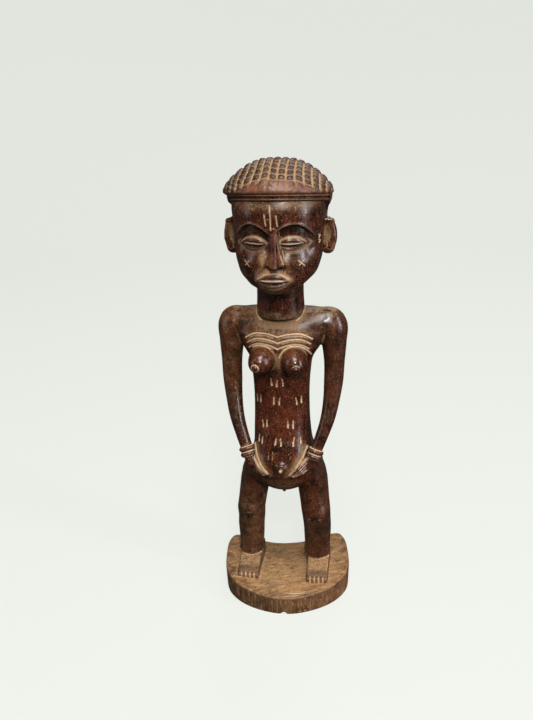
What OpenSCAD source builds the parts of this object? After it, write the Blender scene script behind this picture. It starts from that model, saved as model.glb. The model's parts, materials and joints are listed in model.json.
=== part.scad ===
// Fertility doll: a standing woman on a plinth, carved from one block of dark wood.
// The figure faces -Y, its own left is +X, and the plinth's underside is z = 0.
// The block is divided at the carver's own changes of form, so each member is a solid
// of its own that meets its neighbours face to face.

/* [Levels] */
// Height of the whole carving
total_height = 450; // [440:1:460]
// Level of the ankles
ankle_z = 38; // [36:1:40]
// Level where the thighs leave the hips
hip_z = 121; // [119:1:124]
// Level of the waist, where the belly begins
waist_z = 165; // [162:1:168]
// Level of the elbows
elbow_z = 235; // [225:1:245]
// Level where the neck leaves the shoulders
collar_z = 309; // [307:1:311]
// Level of the headband at the ears
band_z = 415; // [412:1:417]

/* [Plinth] */
// Radius of the plinth's round front
plinth_r = 70; // [68:1:72]
// Thickness of the plinth at its middle
plinth_t = 20; // [18:1:22]
// Turn of the plinth under the figure, in degrees
plinth_turn = 8; // [0:1:12]
// Depth of the hollow in the plinth's back edge
plinth_bay = 13; // [8:1:16]
// Radius of the shallow trough along the plinth's top
dish_r = 450; // [420:10:900]

/* [Trunk] */
// Half width of the shoulders
shoulder_half = 62; // [60:1:64]
// Half width of the middle part of the yoke, between the arms
yoke_half = 40; // [38:1:42]
// Radius of a breast
breast_r = 11.5; // [10:0.5:12.5]
// Distance of a breast from the middle
breast_x = 15; // [13:0.5:17]
// Radius of the neck
neck_r = 22.5; // [21:0.5:24]

/* [Limbs] */
// Distance of the left shin from the middle
stance_x = 34.5; // [33.5:0.5:36]
// How much farther out the right leg stands
right_leg_out = 2.5; // [0:0.5:3]
// Radius of a bracelet's ridges
bracelet_r = 8; // [7.5:0.25:8.5]
// Length of a bracelet along the forearm
bracelet_h = 11; // [9:0.5:12]
// Length of a foot, heel to toe
foot_l = 55; // [52:1:58]
// Half width of a foot
foot_half = 11.5; // [10.5:0.5:12]

/* [Head] */
// Half width of the face at the temples
face_half = 43.7; // [42:0.1:45]
// Half width of the hair
hair_half = 50; // [48.5:0.5:51]
// Backward tilt of the headband and the hair, in degrees
crown_tilt = 6.5; // [4:0.5:9]
// Height of the headband
band_h = 7; // [6:0.5:8]
// Rings of knobs in the hair
knob_rings = 6; // [3:1:6]
// Knobs in the widest ring
knobs_round = 24; // [16:1:28]

/* [Hidden] */

RIGHT = -1;
LEFT = 1;
// Sides of a limb's cross-section, and rings between two of its stations
sides = 24;
steps = 2;
// Half the size of a block that is larger than the figure
far = 500;

plinth_cy = 6;
plinth_side = 65.5;
plinth_back = 47;
bay_r = 90;
toe_count = 5;
toe_tip_y = -37;
toe_r = 2.9;
// Height that the plinth's rim may rise over its middle
rim_rise = 6;
// Level of the instep, and how deep a foot is sunk before the plinth's top cuts it
instep_z = 36;
foot_root = 3;
breast_y = -28;
breast_z = 266;
nape_y = 11;
navel_y = -44;
navel_r = 4.2;
wrist = [33.2, -27.5, 168];
elbow = [49.5, -4, elbow_z];
forearm_axis = wrist - elbow;
crown_base = [0, 0, band_z];
// Height of the hair above its band, measured along its tilted axis
hair_h = total_height - band_z - band_h / 2 - 0.7;
knob_r = 3.5;

// A station is [height, centre x, centre y, half width, half depth]
TRUNK = [
    [118, 0, -6, 6, 7], [123, 0, -5, 20, 20], [134, 0, 0, 37.5, 35], [146, 0, -3.5, 39, 38.5],
    [158, 0, -7, 34, 36.5], [170, 0, -7.5, 30, 33], [190, 0, -5.5, 28, 28],
    [210, 0, -4, 27.4, 25], [228, 0, -3, 27.6, 24.5], [246, 0, -2, 29.5, 25.5],
    [262, 0, -1, 34.5, 27], [276, 0, 0, 41, 27], [290, 0, 1, 46, 25.5],
    [302, 0, 2, 44, 20], [312, 0, 3, 30, 11]
];
ARM = [
    [309.5, 44, 3, 6, 6], [306.5, 45.5, 3, 11, 10.5], [299, 46.8, 3, shoulder_half - 47, 14.4],
    [289, 48, 3, shoulder_half - 47.7, 15.3], [275, 51, 2, 10.7, 13.5], [258, 50.7, 0, 9.9, 12.3],
    [elbow_z, 49.5, -4, 9, 11], [218, 48.3, -9, 8.1, 9.3], [200, 45, -15.5, 7.2, 7.8],
    [184, 39.6, -21.8, 6.5, 6.7], [wrist[2], wrist[0], wrist[1], 6, 6], [156, 28.4, -31.5, 6, 6]
];
LEG = [
    [150, 24, 2, 7, 12], [140, 28, 4, 13.5, 22], [127, 30, 4, 15.6, 24], [114, 31, 1, 15, 20], [102, 32.4, -2, 14, 17.5],
    [90, 33.6, -4, 13.7, 16.5], [80, 34, -1.5, 13.3, 15.5], [66, stance_x, 2, 13, 15.5],
    [54, stance_x, 2, 12.5, 14.5], [44, stance_x, 0, 12, 13.5], [34, stance_x, -1, 12, 14]
];
SKULL = [
    [335.5, 0, -31, 9, 9], [338, 0, -27, 19, 16], [345, 0, -16, 31.5, 28.5],
    [358, 0, -8, 38, 37.5], [375, 0, -5, 41, 41], [394, 0, -4, face_half - 0.6, 42],
    [411, 0, -3, face_half, 42], [428, 0, -2, 38, 37]
];
// The hair behind the ears
NAPE = [
    [422, 0, 2, 48, 45], [414, 0, 2, 49, 45], [402, 0, 3, 46, 43.5], [394, 0, 3, 45, 42.5], [381, 0, 3, 43.5, 40.5],
    [369, 0, 3, 39, 36], [361, 0, 2, 32, 30], [357, 0, 0, 22, 24]
];
// [height above the band as a share of hair_h, half width as a share of hair_half]
HAIR_SHARES = [
    [0, 0.95], [0.08, 1], [0.22, 0.97], [0.4, 0.9], [0.6, 0.78], [0.76, 0.63], [0.89, 0.43], [1, 0.1]
];
hair_depth_share = 0.985;
HAIR = [
    for (share = HAIR_SHARES)
        [share[0] * hair_h, 0, 0, share[1] * hair_half, share[1] * hair_half * hair_depth_share]
];

// Value at t on the smooth curve from b to c, where a comes before and d after them
function curve(a, b, c, d, t) =
    b + t / 2 * (c - a + t * (2 * a - 5 * b + 4 * c - d + t * (3 * (b - c) + d - a)));

function station(rows, i) = rows[max(0, min(len(rows) - 1, i))];

// The stations, with more of them filled in between
function smooth_rows(rows) = concat(
    [for (i = [0:len(rows) - 2], s = [0:steps - 1])
        curve(station(rows, i - 1), rows[i], rows[i + 1], station(rows, i + 2), s / steps)],
    [rows[len(rows) - 1]]
);

// Points of a station's oval outline
function outline(row) = [
    for (k = [0:sides - 1])
        let (turn = 360 * k / sides)
            [row[1] + row[3] * cos(turn), row[2] + row[4] * sin(turn), row[0]]
];

// Solid between two stations
module slab(low, high) {
    first = [for (k = [0:sides - 1]) k];
    second = [for (k = [0:sides - 1]) sides + k];
    hull() polyhedron(points = concat(outline(low), outline(high)), faces = [first, second]);
}

// Rounded solid through a list of stations
module loft(rows) {
    filled = smooth_rows(rows);
    for (i = [0:len(filled) - 2]) slab(filled[i], filled[i + 1]);
}

// Block between two levels
module layer(low, high) {
    translate([-far, -far, low]) cube([2 * far, 2 * far, high - low]);
}

// Block outside the yoke, on one side
module outside(side) {
    translate([side * (yoke_half + far), 0, 0]) cube(2 * far, center = true);
}

// Places its children with +Z along the vector v from the point p
module along(p, v) {
    translate(p) rotate([0, acos(v[2] / norm(v)), atan2(v[1], v[0])]) children();
}

// Places its children on one side of the figure
module on_side(side) {
    scale([side, 1, 1]) children();
}

module trunk_form() {
    loft(TRUNK);
    hull() {
        translate([0, 3, 297]) sphere(r = 15.5, $fn = 24);
        translate([yoke_half + 6, 3, 295]) sphere(r = 14.5, $fn = 24);
        translate([-yoke_half - 6, 3, 295]) sphere(r = 14.5, $fn = 24);
    }
    for (side = [RIGHT, LEFT]) {
        translate([side * breast_x, breast_y, breast_z]) {
            scale([1, 1.4, 1]) sphere(r = breast_r, $fn = 24);
        }
    }
}

module arm_form(side) {
    on_side(side) loft(ARM);
}

// Places its children where a leg stands
module at_leg(side) {
    translate([side == RIGHT ? -right_leg_out : 0, 0, 0]) on_side(side) children();
}

module leg_form(side) {
    at_leg(side) loft(LEG);
}

module neck_form() {
    translate([0, 0, collar_z - 4]) cylinder(r1 = neck_r + 0.5, r2 = neck_r - 0.5, h = 56, $fn = 48);
}

module skull_form() {
    loft(SKULL);
}

// Places its children on the headband's tilted middle plane
module on_crown() {
    translate(crown_base) rotate([-crown_tilt, 0, 0]) children();
}

// Block above a plane that tilts with the hair, h above the band's middle
module above_crown(h) {
    on_crown() translate([-far, -far, h]) cube([2 * far, 2 * far, far]);
}

// Block behind the ears, where the hair runs down to the nape
module behind_ears() {
    translate([-far, nape_y, 0]) cube(2 * far);
}

module plinth_outline() {
    difference() {
        intersection() {
            translate([0, plinth_cy]) circle(r = plinth_r, $fn = 128);
            translate([-plinth_side, -far]) square([2 * plinth_side, far + plinth_back]);
        }
        translate([0, plinth_back - plinth_bay + bay_r]) circle(r = bay_r, $fn = 128);
    }
}

// The air over the plinth's dished top
module dish_air() {
    rotate([0, 0, plinth_turn]) translate([0, 0, plinth_t + dish_r]) {
        rotate([90, 0, 0]) cylinder(r = dish_r, h = 2 * far, center = true, $fn = 720);
    }
}

module plinth() {
    color("#7d6a50") difference() {
        rotate([0, 0, plinth_turn]) linear_extrude(plinth_t + rim_rise) plinth_outline();
        dish_air();
    }
}

// Upright post of a foot, from under the plinth's top to the instep
module foot_post(y) {
    translate([stance_x + 0.6, y, plinth_t - foot_root]) {
        cylinder(r = foot_half, h = instep_z - plinth_t + foot_root, $fn = 32);
    }
}

module foot_form() {
    toe_pitch = 2 * (foot_half - toe_r) / (toe_count - 1);
    toe_root_y = toe_tip_y + 8;
    hull() {
        foot_post(toe_tip_y + foot_l - foot_half);
        foot_post(-3);
    }
    hull() {
        foot_post(-3);
        translate([stance_x + 0.6 - foot_half, toe_root_y, plinth_t - foot_root]) {
            cube([2 * foot_half, 1, 11]);
        }
    }
    hull() {
        translate([stance_x, -1, ankle_z - 0.5]) scale([12, 14, 1]) cylinder(r = 1, h = 0.5, $fn = 32);
        foot_post(-3);
    }
    for (i = [0:toe_count - 1]) {
        toe_x = stance_x + 0.6 - foot_half + toe_r + i * toe_pitch;
        hull() {
            translate([toe_x, toe_root_y, plinth_t + 4.5]) sphere(r = toe_r, $fn = 16);
            translate([toe_x, toe_tip_y + toe_r, plinth_t + 3]) sphere(r = toe_r, $fn = 16);
            translate([toe_x, toe_tip_y + toe_r, plinth_t - 1]) sphere(r = toe_r, $fn = 16);
        }
    }
}

module foot(side) {
    color("#5b4331") intersection() {
        at_leg(side) foot_form();
        dish_air();
        layer(0, ankle_z);
    }
}

module leg(side) {
    color("#3a1f17") difference() {
        intersection() {
            leg_form(side);
            layer(ankle_z, hip_z);
        }
        trunk_form();
    }
}

module pelvis() {
    color("#431f17") {
        intersection() {
            union() {
                trunk_form();
                leg_form(RIGHT);
                leg_form(LEFT);
            }
            layer(hip_z, waist_z);
        }
        intersection() {
            trunk_form();
            layer(0, hip_z);
        }
        translate([0, navel_y, waist_z - 5.5]) sphere(r = navel_r, $fn = 24);
    }
}

module torso() {
    color("#451d16") difference() {
        intersection() {
            trunk_form();
            layer(waist_z, far);
        }
        outside(RIGHT);
        outside(LEFT);
        neck_form();
    }
}

module upper_arm(side) {
    color("#3f1b15") intersection() {
        union() {
            trunk_form();
            arm_form(side);
        }
        outside(side);
        layer(elbow_z, far);
    }
}

module forearm(side) {
    color("#3c1a14") difference() {
        intersection() {
            arm_form(side);
            layer(0, elbow_z);
        }
        on_side(side) along(wrist, forearm_axis) {
            translate([-far, -far, -bracelet_h / 2]) cube([2 * far, 2 * far, far]);
        }
        trunk_form();
    }
}

module bracelet(side) {
    ridge = bracelet_h / 2;
    color("#6b5138") on_side(side) along(wrist, forearm_axis) {
        rotate_extrude($fn = 64) {
            translate([0, -bracelet_h / 2]) square([bracelet_r - 1.2, bracelet_h]);
            for (i = [-0.5, 0.5]) {
                translate([bracelet_r - ridge / 2, i * ridge]) circle(r = ridge / 2, $fn = 24);
            }
        }
    }
}

module hand(side) {
    finger_count = 4;
    color("#57392a") difference() {
        on_side(side) {
            hull() {
                translate(wrist) sphere(r = 6.3, $fn = 24);
                translate([25.5, -34.5, 158]) scale([1, 0.9, 1.1]) sphere(r = 6.5, $fn = 24);
            }
            for (i = [0:finger_count - 1]) {
                hull() {
                    translate([26.5, -34, 160.5 - 2.6 * i]) sphere(r = 3.4, $fn = 16);
                    translate([11.5 + i, -41.5 + 0.7 * i, 151.5 - 1.7 * i]) sphere(r = 2.2, $fn = 16);
                }
            }
            hull() {
                translate([27, -33, 161]) sphere(r = 3.8, $fn = 16);
                translate([17, -39.5, 157]) sphere(r = 2.4, $fn = 16);
            }
        }
        on_side(side) along(wrist, forearm_axis) {
            translate([-far, -far, bracelet_h / 2 - 2 * far]) cube([2 * far, 2 * far, 2 * far]);
        }
        trunk_form();
        leg_form(side);
        translate([0, navel_y, waist_z - 5.5]) sphere(r = navel_r, $fn = 24);
    }
}

module neck() {
    color("#3a1a14") difference() {
        neck_form();
        skull_form();
    }
}

module nose_form() {
    hull() {
        translate([0, -45, 389]) sphere(r = 2.5, $fn = 16);
        translate([0, -49.5, 367]) sphere(r = 3.5, $fn = 16);
        for (side = [RIGHT, LEFT]) translate([side * 5.5, -47, 365]) sphere(r = 3, $fn = 16);
    }
}

// A lens-shaped swelling on the face, such as an eye or a lip
module swelling(centre, half_size) {
    translate(centre) scale(half_size) sphere(r = 1, $fn = 16);
}

module head() {
    color("#4a2119") difference() {
        union() {
            skull_form();
            nose_form();
            for (side = [RIGHT, LEFT]) swelling([side * 18, -41, 379], [12, 5, 6.5]);
            swelling([0, -44, 351.5], [14, 4.5, 3.5]);
            swelling([0, -43.5, 345.5], [13, 4.5, 3.5]);
        }
        above_crown(-band_h / 2);
    }
}

module ear(side) {
    color("#452219") difference() {
        on_side(side) {
            difference() {
                translate([46, 2, 379]) scale([0.36, 0.52, 1]) sphere(r = 17.5, $fn = 24);
                translate([50, -8, 381]) scale([0.5, 0.7, 1]) sphere(r = 9, $fn = 24);
            }
        }
        skull_form();
        above_crown(-band_h / 2);
        behind_ears();
    }
}

module headband() {
    ridge = band_h / 2;
    color("#4f2a1e") difference() {
        on_crown() rotate_extrude($fn = 96) {
            translate([0, -band_h / 2]) square([44.5, band_h]);
            for (i = [-0.5, 0.5]) {
                translate([45.5 - ridge / 2, i * ridge]) circle(r = ridge / 2, $fn = 24);
            }
        }
        behind_ears();
    }
}

// Knobs round the hair, in rings that follow its outline
module knobs() {
    rings = smooth_rows(HAIR);
    for (i = [1:knob_rings]) {
        ring = rings[2 * i];
        count = round(knobs_round * ring[3] / hair_half);
        for (k = [0:count - 1]) {
            turn = 360 * (k + (i % 2) / 2) / count;
            translate([(ring[3] - 1.5) * cos(turn), (ring[4] - 1.5) * sin(turn), ring[0] - 2]) {
                rotate([0, 0, turn]) sphere(r = knob_r, $fn = 6);
            }
        }
    }
}

module coiffure() {
    color("#54301f") {
        difference() {
            on_crown() translate([0, 0, band_h / 2]) {
                loft(HAIR);
                knobs();
            }
            difference() {
                on_crown() translate([-far, -far, band_h / 2 - far]) cube([2 * far, 2 * far, far]);
                behind_ears();
            }
        }
        difference() {
            intersection() {
                loft(NAPE);
                behind_ears();
            }
            difference() {
                skull_form();
                above_crown(-band_h / 2);
            }
            neck_form();
        }
    }
}

plinth();
foot(RIGHT);  // right_foot
foot(LEFT);  // left_foot
leg(RIGHT);  // right_leg
leg(LEFT);  // left_leg
pelvis();
torso();
upper_arm(RIGHT);  // right_upper_arm
upper_arm(LEFT);  // left_upper_arm
forearm(RIGHT);  // right_forearm
forearm(LEFT);  // left_forearm
bracelet(RIGHT);  // right_bracelet
bracelet(LEFT);  // left_bracelet
hand(RIGHT);  // right_hand
hand(LEFT);  // left_hand
neck();
head();
ear(RIGHT);  // right_ear
ear(LEFT);  // left_ear
headband();
coiffure();
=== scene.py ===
import json
import math

import bmesh
import bpy
import numpy as np
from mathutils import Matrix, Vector

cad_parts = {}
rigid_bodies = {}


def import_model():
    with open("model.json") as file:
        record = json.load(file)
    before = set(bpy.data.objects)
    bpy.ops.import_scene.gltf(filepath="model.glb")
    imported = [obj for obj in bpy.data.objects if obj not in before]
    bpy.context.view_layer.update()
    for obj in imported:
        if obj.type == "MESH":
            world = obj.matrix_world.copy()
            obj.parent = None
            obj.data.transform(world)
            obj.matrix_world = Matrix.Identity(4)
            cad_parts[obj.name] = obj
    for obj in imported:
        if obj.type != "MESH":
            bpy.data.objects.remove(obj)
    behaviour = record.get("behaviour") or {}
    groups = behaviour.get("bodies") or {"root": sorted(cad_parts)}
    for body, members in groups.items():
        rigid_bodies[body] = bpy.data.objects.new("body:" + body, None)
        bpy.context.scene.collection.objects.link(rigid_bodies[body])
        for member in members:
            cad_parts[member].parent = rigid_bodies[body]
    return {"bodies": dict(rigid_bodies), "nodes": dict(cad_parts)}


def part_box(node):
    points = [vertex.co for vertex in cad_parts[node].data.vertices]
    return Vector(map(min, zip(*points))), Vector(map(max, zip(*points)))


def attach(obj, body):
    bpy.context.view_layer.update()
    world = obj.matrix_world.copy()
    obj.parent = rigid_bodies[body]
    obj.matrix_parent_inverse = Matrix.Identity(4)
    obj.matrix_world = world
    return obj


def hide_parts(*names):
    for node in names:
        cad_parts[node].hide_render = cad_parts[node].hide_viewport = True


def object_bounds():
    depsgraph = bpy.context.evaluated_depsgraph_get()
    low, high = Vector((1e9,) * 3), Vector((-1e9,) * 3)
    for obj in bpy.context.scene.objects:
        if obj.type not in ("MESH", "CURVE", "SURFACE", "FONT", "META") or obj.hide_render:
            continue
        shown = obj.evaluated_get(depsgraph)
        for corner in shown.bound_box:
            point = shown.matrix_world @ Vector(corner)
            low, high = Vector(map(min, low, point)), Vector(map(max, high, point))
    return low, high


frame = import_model()
KEPT = set(frame["nodes"].values()) | set(frame["bodies"].values())
for spare in [thing for thing in bpy.data.objects if thing not in KEPT]:
    bpy.data.objects.remove(spare)
cad_low, cad_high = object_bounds()

# ---------------------------------------------------------------- the frame
# Sculpting is done in units of 1/450 of the figure's height: 1 mm at its own size.
UNIT = (cad_high[2] - cad_low[2]) / 450.0


def node_box(name):
    """Lowest and highest corner of a CAD node, in sculpting units."""
    low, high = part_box(name)
    return np.array(low) / UNIT, np.array(high) / UNIT


BOX = {name: node_box(name) for name in frame["nodes"]}
ANKLE = BOX["left_leg"][0][2]
HIP = BOX["left_leg"][1][2]
WAIST = BOX["torso"][0][2]
ELBOW = BOX["left_forearm"][1][2]
# How far the cuts between the trunk and the arms stand out, and the arms themselves
YOKE = BOX["torso"][1][0]
SHOULDER = BOX["left_upper_arm"][1][0]
COLLAR = BOX["torso"][1][2] - 3.0
# The chest and the neck stand a little to the figure's right
TRUNK_X = -0.8
STANCE = (BOX["left_leg"][0][0] + BOX["left_leg"][1][0]) / 2 + 3.2
FOOT_LOW, FOOT_HIGH = BOX["left_foot"]
PLINTH_TOP = FOOT_LOW[2]
CHIN = BOX["head"][0][2]
CROWN = BOX["coiffure"][1][2]
BAND_HALF = BOX["headband"][1][0]
HAIR_HALF = BAND_HALF + 4.2
FACE_HALF = BOX["head"][1][0] - 0.2
NECK_R = (BOX["neck"][1][0] - BOX["neck"][0][0]) / 2 - 0.4
WRIST = (BOX["left_bracelet"][0] + BOX["left_bracelet"][1]) / 2
CROWN_TILT = math.radians(8.3)
BAND_HEIGHT = 7.0
BAND_Z = BOX["headband"][1][2] - BAND_HALF * math.sin(CROWN_TILT) - BAND_HEIGHT / 2 * math.cos(CROWN_TILT)
# The figure's own right and left, and the way each lies along X
SIDES = {"right": -1.0, "left": 1.0}
BOTH = tuple(SIDES.values())

# Grid steps of the sculpted pieces
BODY_STEP = 0.66
HEAD_STEP = 0.6
HAIR_STEP = 0.635
FINE_STEP = 0.42
PLINTH_STEP = 0.8


# ---------------------------------------------------------------- forms
# A form is a function of x, y and z that gives the distance to a surface, negative inside,
# with the corners of a box that holds it.
def form(distance, low, high):
    return distance, np.array(low, float), np.array(high, float)


def ball(centre, radii):
    """An ellipsoid."""
    cx, cy, cz = centre
    rx, ry, rz = radii

    def distance(x, y, z):
        u, v, w = (x - cx) / rx, (y - cy) / ry, (z - cz) / rz
        near = np.sqrt(u * u + v * v + w * w) + 1e-6
        steep = np.sqrt((u / rx) ** 2 + (v / ry) ** 2 + (w / rz) ** 2) + 1e-6
        return near * (near - 1) / steep

    return form(distance, np.array(centre) - radii, np.array(centre) + radii)


def rod(start, end, start_r, end_r):
    """A round bar with round ends between two points."""
    a, b = np.array(start, float), np.array(end, float)
    along = b - a
    length2 = float(along @ along)

    def distance(x, y, z):
        px, py, pz = x - a[0], y - a[1], z - a[2]
        t = np.clip((px * along[0] + py * along[1] + pz * along[2]) / length2, 0, 1)
        gap = np.sqrt((px - t * along[0]) ** 2 + (py - t * along[1]) ** 2 + (pz - t * along[2]) ** 2)
        return gap - (start_r + (end_r - start_r) * t)

    r = max(start_r, end_r)
    return form(distance, np.minimum(a, b) - r, np.maximum(a, b) + r)


def smooth_through(levels, values, at):
    """Values at new levels on a smooth curve through the given ones."""
    levels, values = np.array(levels, float), np.array(values, float)
    slopes = np.gradient(values, levels)
    at = np.clip(at, levels[0], levels[-1])
    i = np.clip(np.searchsorted(levels, at) - 1, 0, len(levels) - 2)
    span = levels[i + 1] - levels[i]
    t = (at - levels[i]) / span
    h00, h10 = (1 + 2 * t) * (1 - t) ** 2, t * (1 - t) ** 2
    h01, h11 = t * t * (3 - 2 * t), t * t * (t - 1)
    return h00 * values[i] + h10 * span * slopes[i] + h01 * values[i + 1] + h11 * span * slopes[i + 1]


def loft(stations, power=2.0):
    """An upright form through ovals, each given as level, centre x, centre y, half width, half depth."""
    levels, *columns = zip(*sorted(stations))
    fine = np.linspace(levels[0], levels[-1], 400)
    columns = [smooth_through(levels, column, fine) for column in columns]

    def distance(x, y, z):
        cx, cy, rx, ry = (np.interp(z, fine, column).astype(np.float32) for column in columns)
        u, v = np.abs(x - cx) / rx + 1e-6, np.abs(y - cy) / ry + 1e-6
        if power == 2.0:
            q = np.sqrt(u * u + v * v)
            steep = np.sqrt((u / rx) ** 2 + (v / ry) ** 2) / q
        else:
            q = (u ** power + v ** power) ** (1 / power)
            steep = np.sqrt((u ** (power - 1) / rx) ** 2 + (v ** (power - 1) / ry) ** 2) / q ** (power - 1)
        return np.maximum((q - 1) / steep, np.maximum(fine[0] - z, z - fine[-1]))

    cx, cy, rx, ry = columns
    low = [(cx - rx).min(), (cy - ry).min(), fine[0]]
    return form(distance, low, [(cx + rx).max(), (cy + ry).max(), fine[-1]])


def mirrored(side, shape):
    """The same form on the given side of the figure: 1 leaves it, -1 swaps right and left."""
    distance, low, high = shape
    if side > 0:
        return shape
    return form(lambda x, y, z: distance(-x, y, z), [-high[0], low[1], low[2]], [-low[0], high[1], high[2]])


def smaller(a, b, blend):
    """Union of two distances, with a fillet as wide as blend."""
    h = np.maximum(blend - np.abs(a - b), 0) / blend
    return np.minimum(a, b) - h * h * blend * 0.25


def larger(a, b, blend):
    """Overlap of two distances, with its edge rounded as wide as blend."""
    return -smaller(-a, -b, blend)


# Fillet of forms that meet in a sharp line
SHARP = 0.01


class Clay:
    """Distances on a grid over a box, shaped by adding and cutting forms."""

    def __init__(self, low, high, step):
        self.step = step
        self.axes = [np.arange(a, b + step, step, dtype=np.float32) for a, b in zip(low, high)]
        self.values = np.full([len(axis) for axis in self.axes], 40.0, dtype=np.float32)

    def window(self, low, high, margin):
        """The part of the grid round a box, as slices and as the places along each axis."""
        cuts = []
        for axis, a, b in zip(self.axes, low, high):
            first = int(np.searchsorted(axis, a - margin))
            cuts.append(slice(first, max(first, int(np.searchsorted(axis, b + margin)))))
        x, y, z = (axis[cut] for axis, cut in zip(self.axes, cuts))
        return tuple(cuts), (x[:, None, None], y[None, :, None], z[None, None, :])

    def add(self, shape, blend=SHARP, sign=1):
        """Joins a form on with a fillet, or cuts it away when the sign is -1."""
        distance, low, high = shape
        cuts, places = self.window(low, high, blend + 4 * self.step)
        self.values[cuts] = sign * smaller(sign * self.values[cuts], distance(*places), blend)

    def cut(self, shape, blend=SHARP):
        self.add(shape, blend, -1)

    def keep(self, distance, blend=SHARP):
        """Keeps what lies where a distance is negative."""
        x, y, z = self.axes
        kept = distance(x[:, None, None], y[None, :, None], z[None, None, :])
        self.values = larger(self.values, kept, blend)


CORNERS = [(i, j, k) for i in (0, 1) for j in (0, 1) for k in (0, 1)]
EDGES = [(a, b) for a in range(8) for b in range(a + 1, 8)
         if sum(abs(p - q) for p, q in zip(CORNERS[a], CORNERS[b])) == 1]


def corner_view(values, corner):
    """The values at one corner of every cell."""
    i, j, k = corner
    nx, ny, nz = values.shape
    return values[i:nx - 1 + i, j:ny - 1 + j, k:nz - 1 + k]


def surface_points(values, cells):
    """One point in each crossed cell, in grid steps: the mean of where the surface cuts its edges."""
    corners = np.stack([corner_view(values, c)[tuple(cells.T)] for c in CORNERS], axis=1)
    total, count = np.zeros((len(cells), 3)), np.zeros(len(cells))
    for a, b in EDGES:
        va, vb = corners[:, a], corners[:, b]
        crossed = (va < 0) != (vb < 0)
        t = np.where(crossed, va / np.where(crossed, va - vb, 1), 0)[:, None]
        start, end = np.array(CORNERS[a], float), np.array(CORNERS[b], float)
        total += np.where(crossed[:, None], start + t * (end - start), 0)
        count += crossed
    return cells + total / count[:, None]


def surface_quads(inside, index):
    """A quad round each grid edge that the surface crosses."""
    quads = []
    for axis in range(3):
        size = np.array(inside.shape)
        here = [slice(1, n - 1) for n in size]
        here[axis] = slice(0, size[axis] - 1)
        there = list(here)
        there[axis] = slice(1, size[axis])
        first, second = inside[tuple(here)], inside[tuple(there)]
        place = np.argwhere(first != second)
        leaving = first[tuple(place.T)]
        offset = np.array([1, 1, 1])
        offset[axis] = 0
        place = place + offset
        u, v = [a for a in range(3) if a != axis]
        ring = []
        for du, dv in ((0, 0), (1, 0), (1, 1), (0, 1)):
            cell = place.copy()
            cell[:, u] -= du
            cell[:, v] -= dv
            ring.append(index[tuple(cell.T)])
        quad = np.stack(ring, axis=1)
        turned = leaving if axis != 1 else ~leaving
        quad[~turned] = quad[~turned][:, ::-1]
        quads.append(quad)
    return np.concatenate(quads)


class Skin:
    """A sculpted surface: points, outward normals, quads and masks for its materials."""

    def __init__(self, clay):
        inside = clay.values < 0
        count = sum(corner_view(inside, c).astype(np.uint8) for c in CORNERS)
        cells = np.argwhere((count > 0) & (count < 8))
        index = np.full(count.shape, -1, dtype=np.int64)
        index[tuple(cells.T)] = np.arange(len(cells))
        grid = surface_points(clay.values, cells)
        self.quads = surface_quads(inside, index)
        self.grid, self.step = clay.values, clay.step
        self.low = np.array([axis[0] for axis in clay.axes])
        self.points = self.low + grid * clay.step
        self.settle(2)
        self.masks = {}
        self.find_normals()

    def sample(self, points):
        """Distance at free points, interpolated in the grid."""
        at = (points - self.low) / self.step
        top = np.array(self.grid.shape) - 2
        cell = np.clip(np.floor(at).astype(int), 0, top)
        f = at - cell
        out = 0
        for i, j, k in CORNERS:
            weight = (f[:, 0] if i else 1 - f[:, 0]) * (f[:, 1] if j else 1 - f[:, 1])
            weight = weight * (f[:, 2] if k else 1 - f[:, 2])
            out = out + weight * self.grid[cell[:, 0] + i, cell[:, 1] + j, cell[:, 2] + k]
        return out

    def settle(self, rounds):
        """Moves each point onto the surface, which takes the grid's ripple away."""
        for _ in range(rounds):
            slope = np.stack([
                (self.sample(self.points + d) - self.sample(self.points - d)) / (2 * self.step)
                for d in np.eye(3) * self.step
            ], axis=1)
            steep = np.maximum((slope ** 2).sum(1), 0.05)
            move = -(self.sample(self.points) / steep)[:, None] * slope
            self.points += np.clip(move, -0.5 * self.step, 0.5 * self.step)

    def find_normals(self):
        """Outward normals, as the mean of the quads round each point."""
        p = self.points[self.quads]
        facing = np.cross(p[:, 2] - p[:, 0], p[:, 3] - p[:, 1])
        total = np.zeros_like(self.points)
        for i in range(4):
            for axis in range(3):
                total[:, axis] += np.bincount(self.quads[:, i], facing[:, axis], len(self.points))
        self.normals = total / np.maximum(np.linalg.norm(total, axis=1), 1e-9)[:, None]

    def find_edges(self):
        pairs = np.concatenate([self.quads[:, [0, 1]], self.quads[:, [1, 2]],
                                self.quads[:, [2, 3]], self.quads[:, [3, 0]]])
        self.edge_a, self.edge_b = pairs[:, 0], pairs[:, 1]
        self.degree = np.bincount(self.edge_a, minlength=len(self.points)).astype(float)

    def averaged(self, values, rounds):
        """Values spread over the neighbouring points."""
        for _ in range(rounds):
            values = np.bincount(self.edge_a, values[self.edge_b], len(values)) / self.degree
        return values

    def hollows(self, rounds):
        """How far each point lies under the surface around it: positive in a hollow."""
        spread = np.stack([self.averaged(self.points[:, i], rounds) for i in range(3)], axis=1)
        return ((spread - self.points) * self.normals).sum(1)

    def front(self, low, high):
        """1 where the surface faces forwards and 0 where it doesn't, smooth between two limits."""
        return ramp(low, high, -self.normals[:, 1])

    def push(self, amount):
        """Moves the points along their normals."""
        self.points = self.points + self.normals * np.asarray(amount)[:, None]

    def mask(self, name, values):
        """Raises a mask to the given values."""
        old = self.masks.get(name)
        values = np.clip(values, 0, 1)
        self.masks[name] = values if old is None else np.maximum(old, values)


# ---------------------------------------------------------------- cutting tools
def ramp(low, high, values):
    """0 at low, 1 at high, smooth between."""
    t = np.clip((values - low) / (high - low), 0, 1)
    return t * t * (3 - 2 * t)


def fade(low, high, values):
    """1 at low, 0 at high, smooth between."""
    return 1 - ramp(low, high, values)


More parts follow.
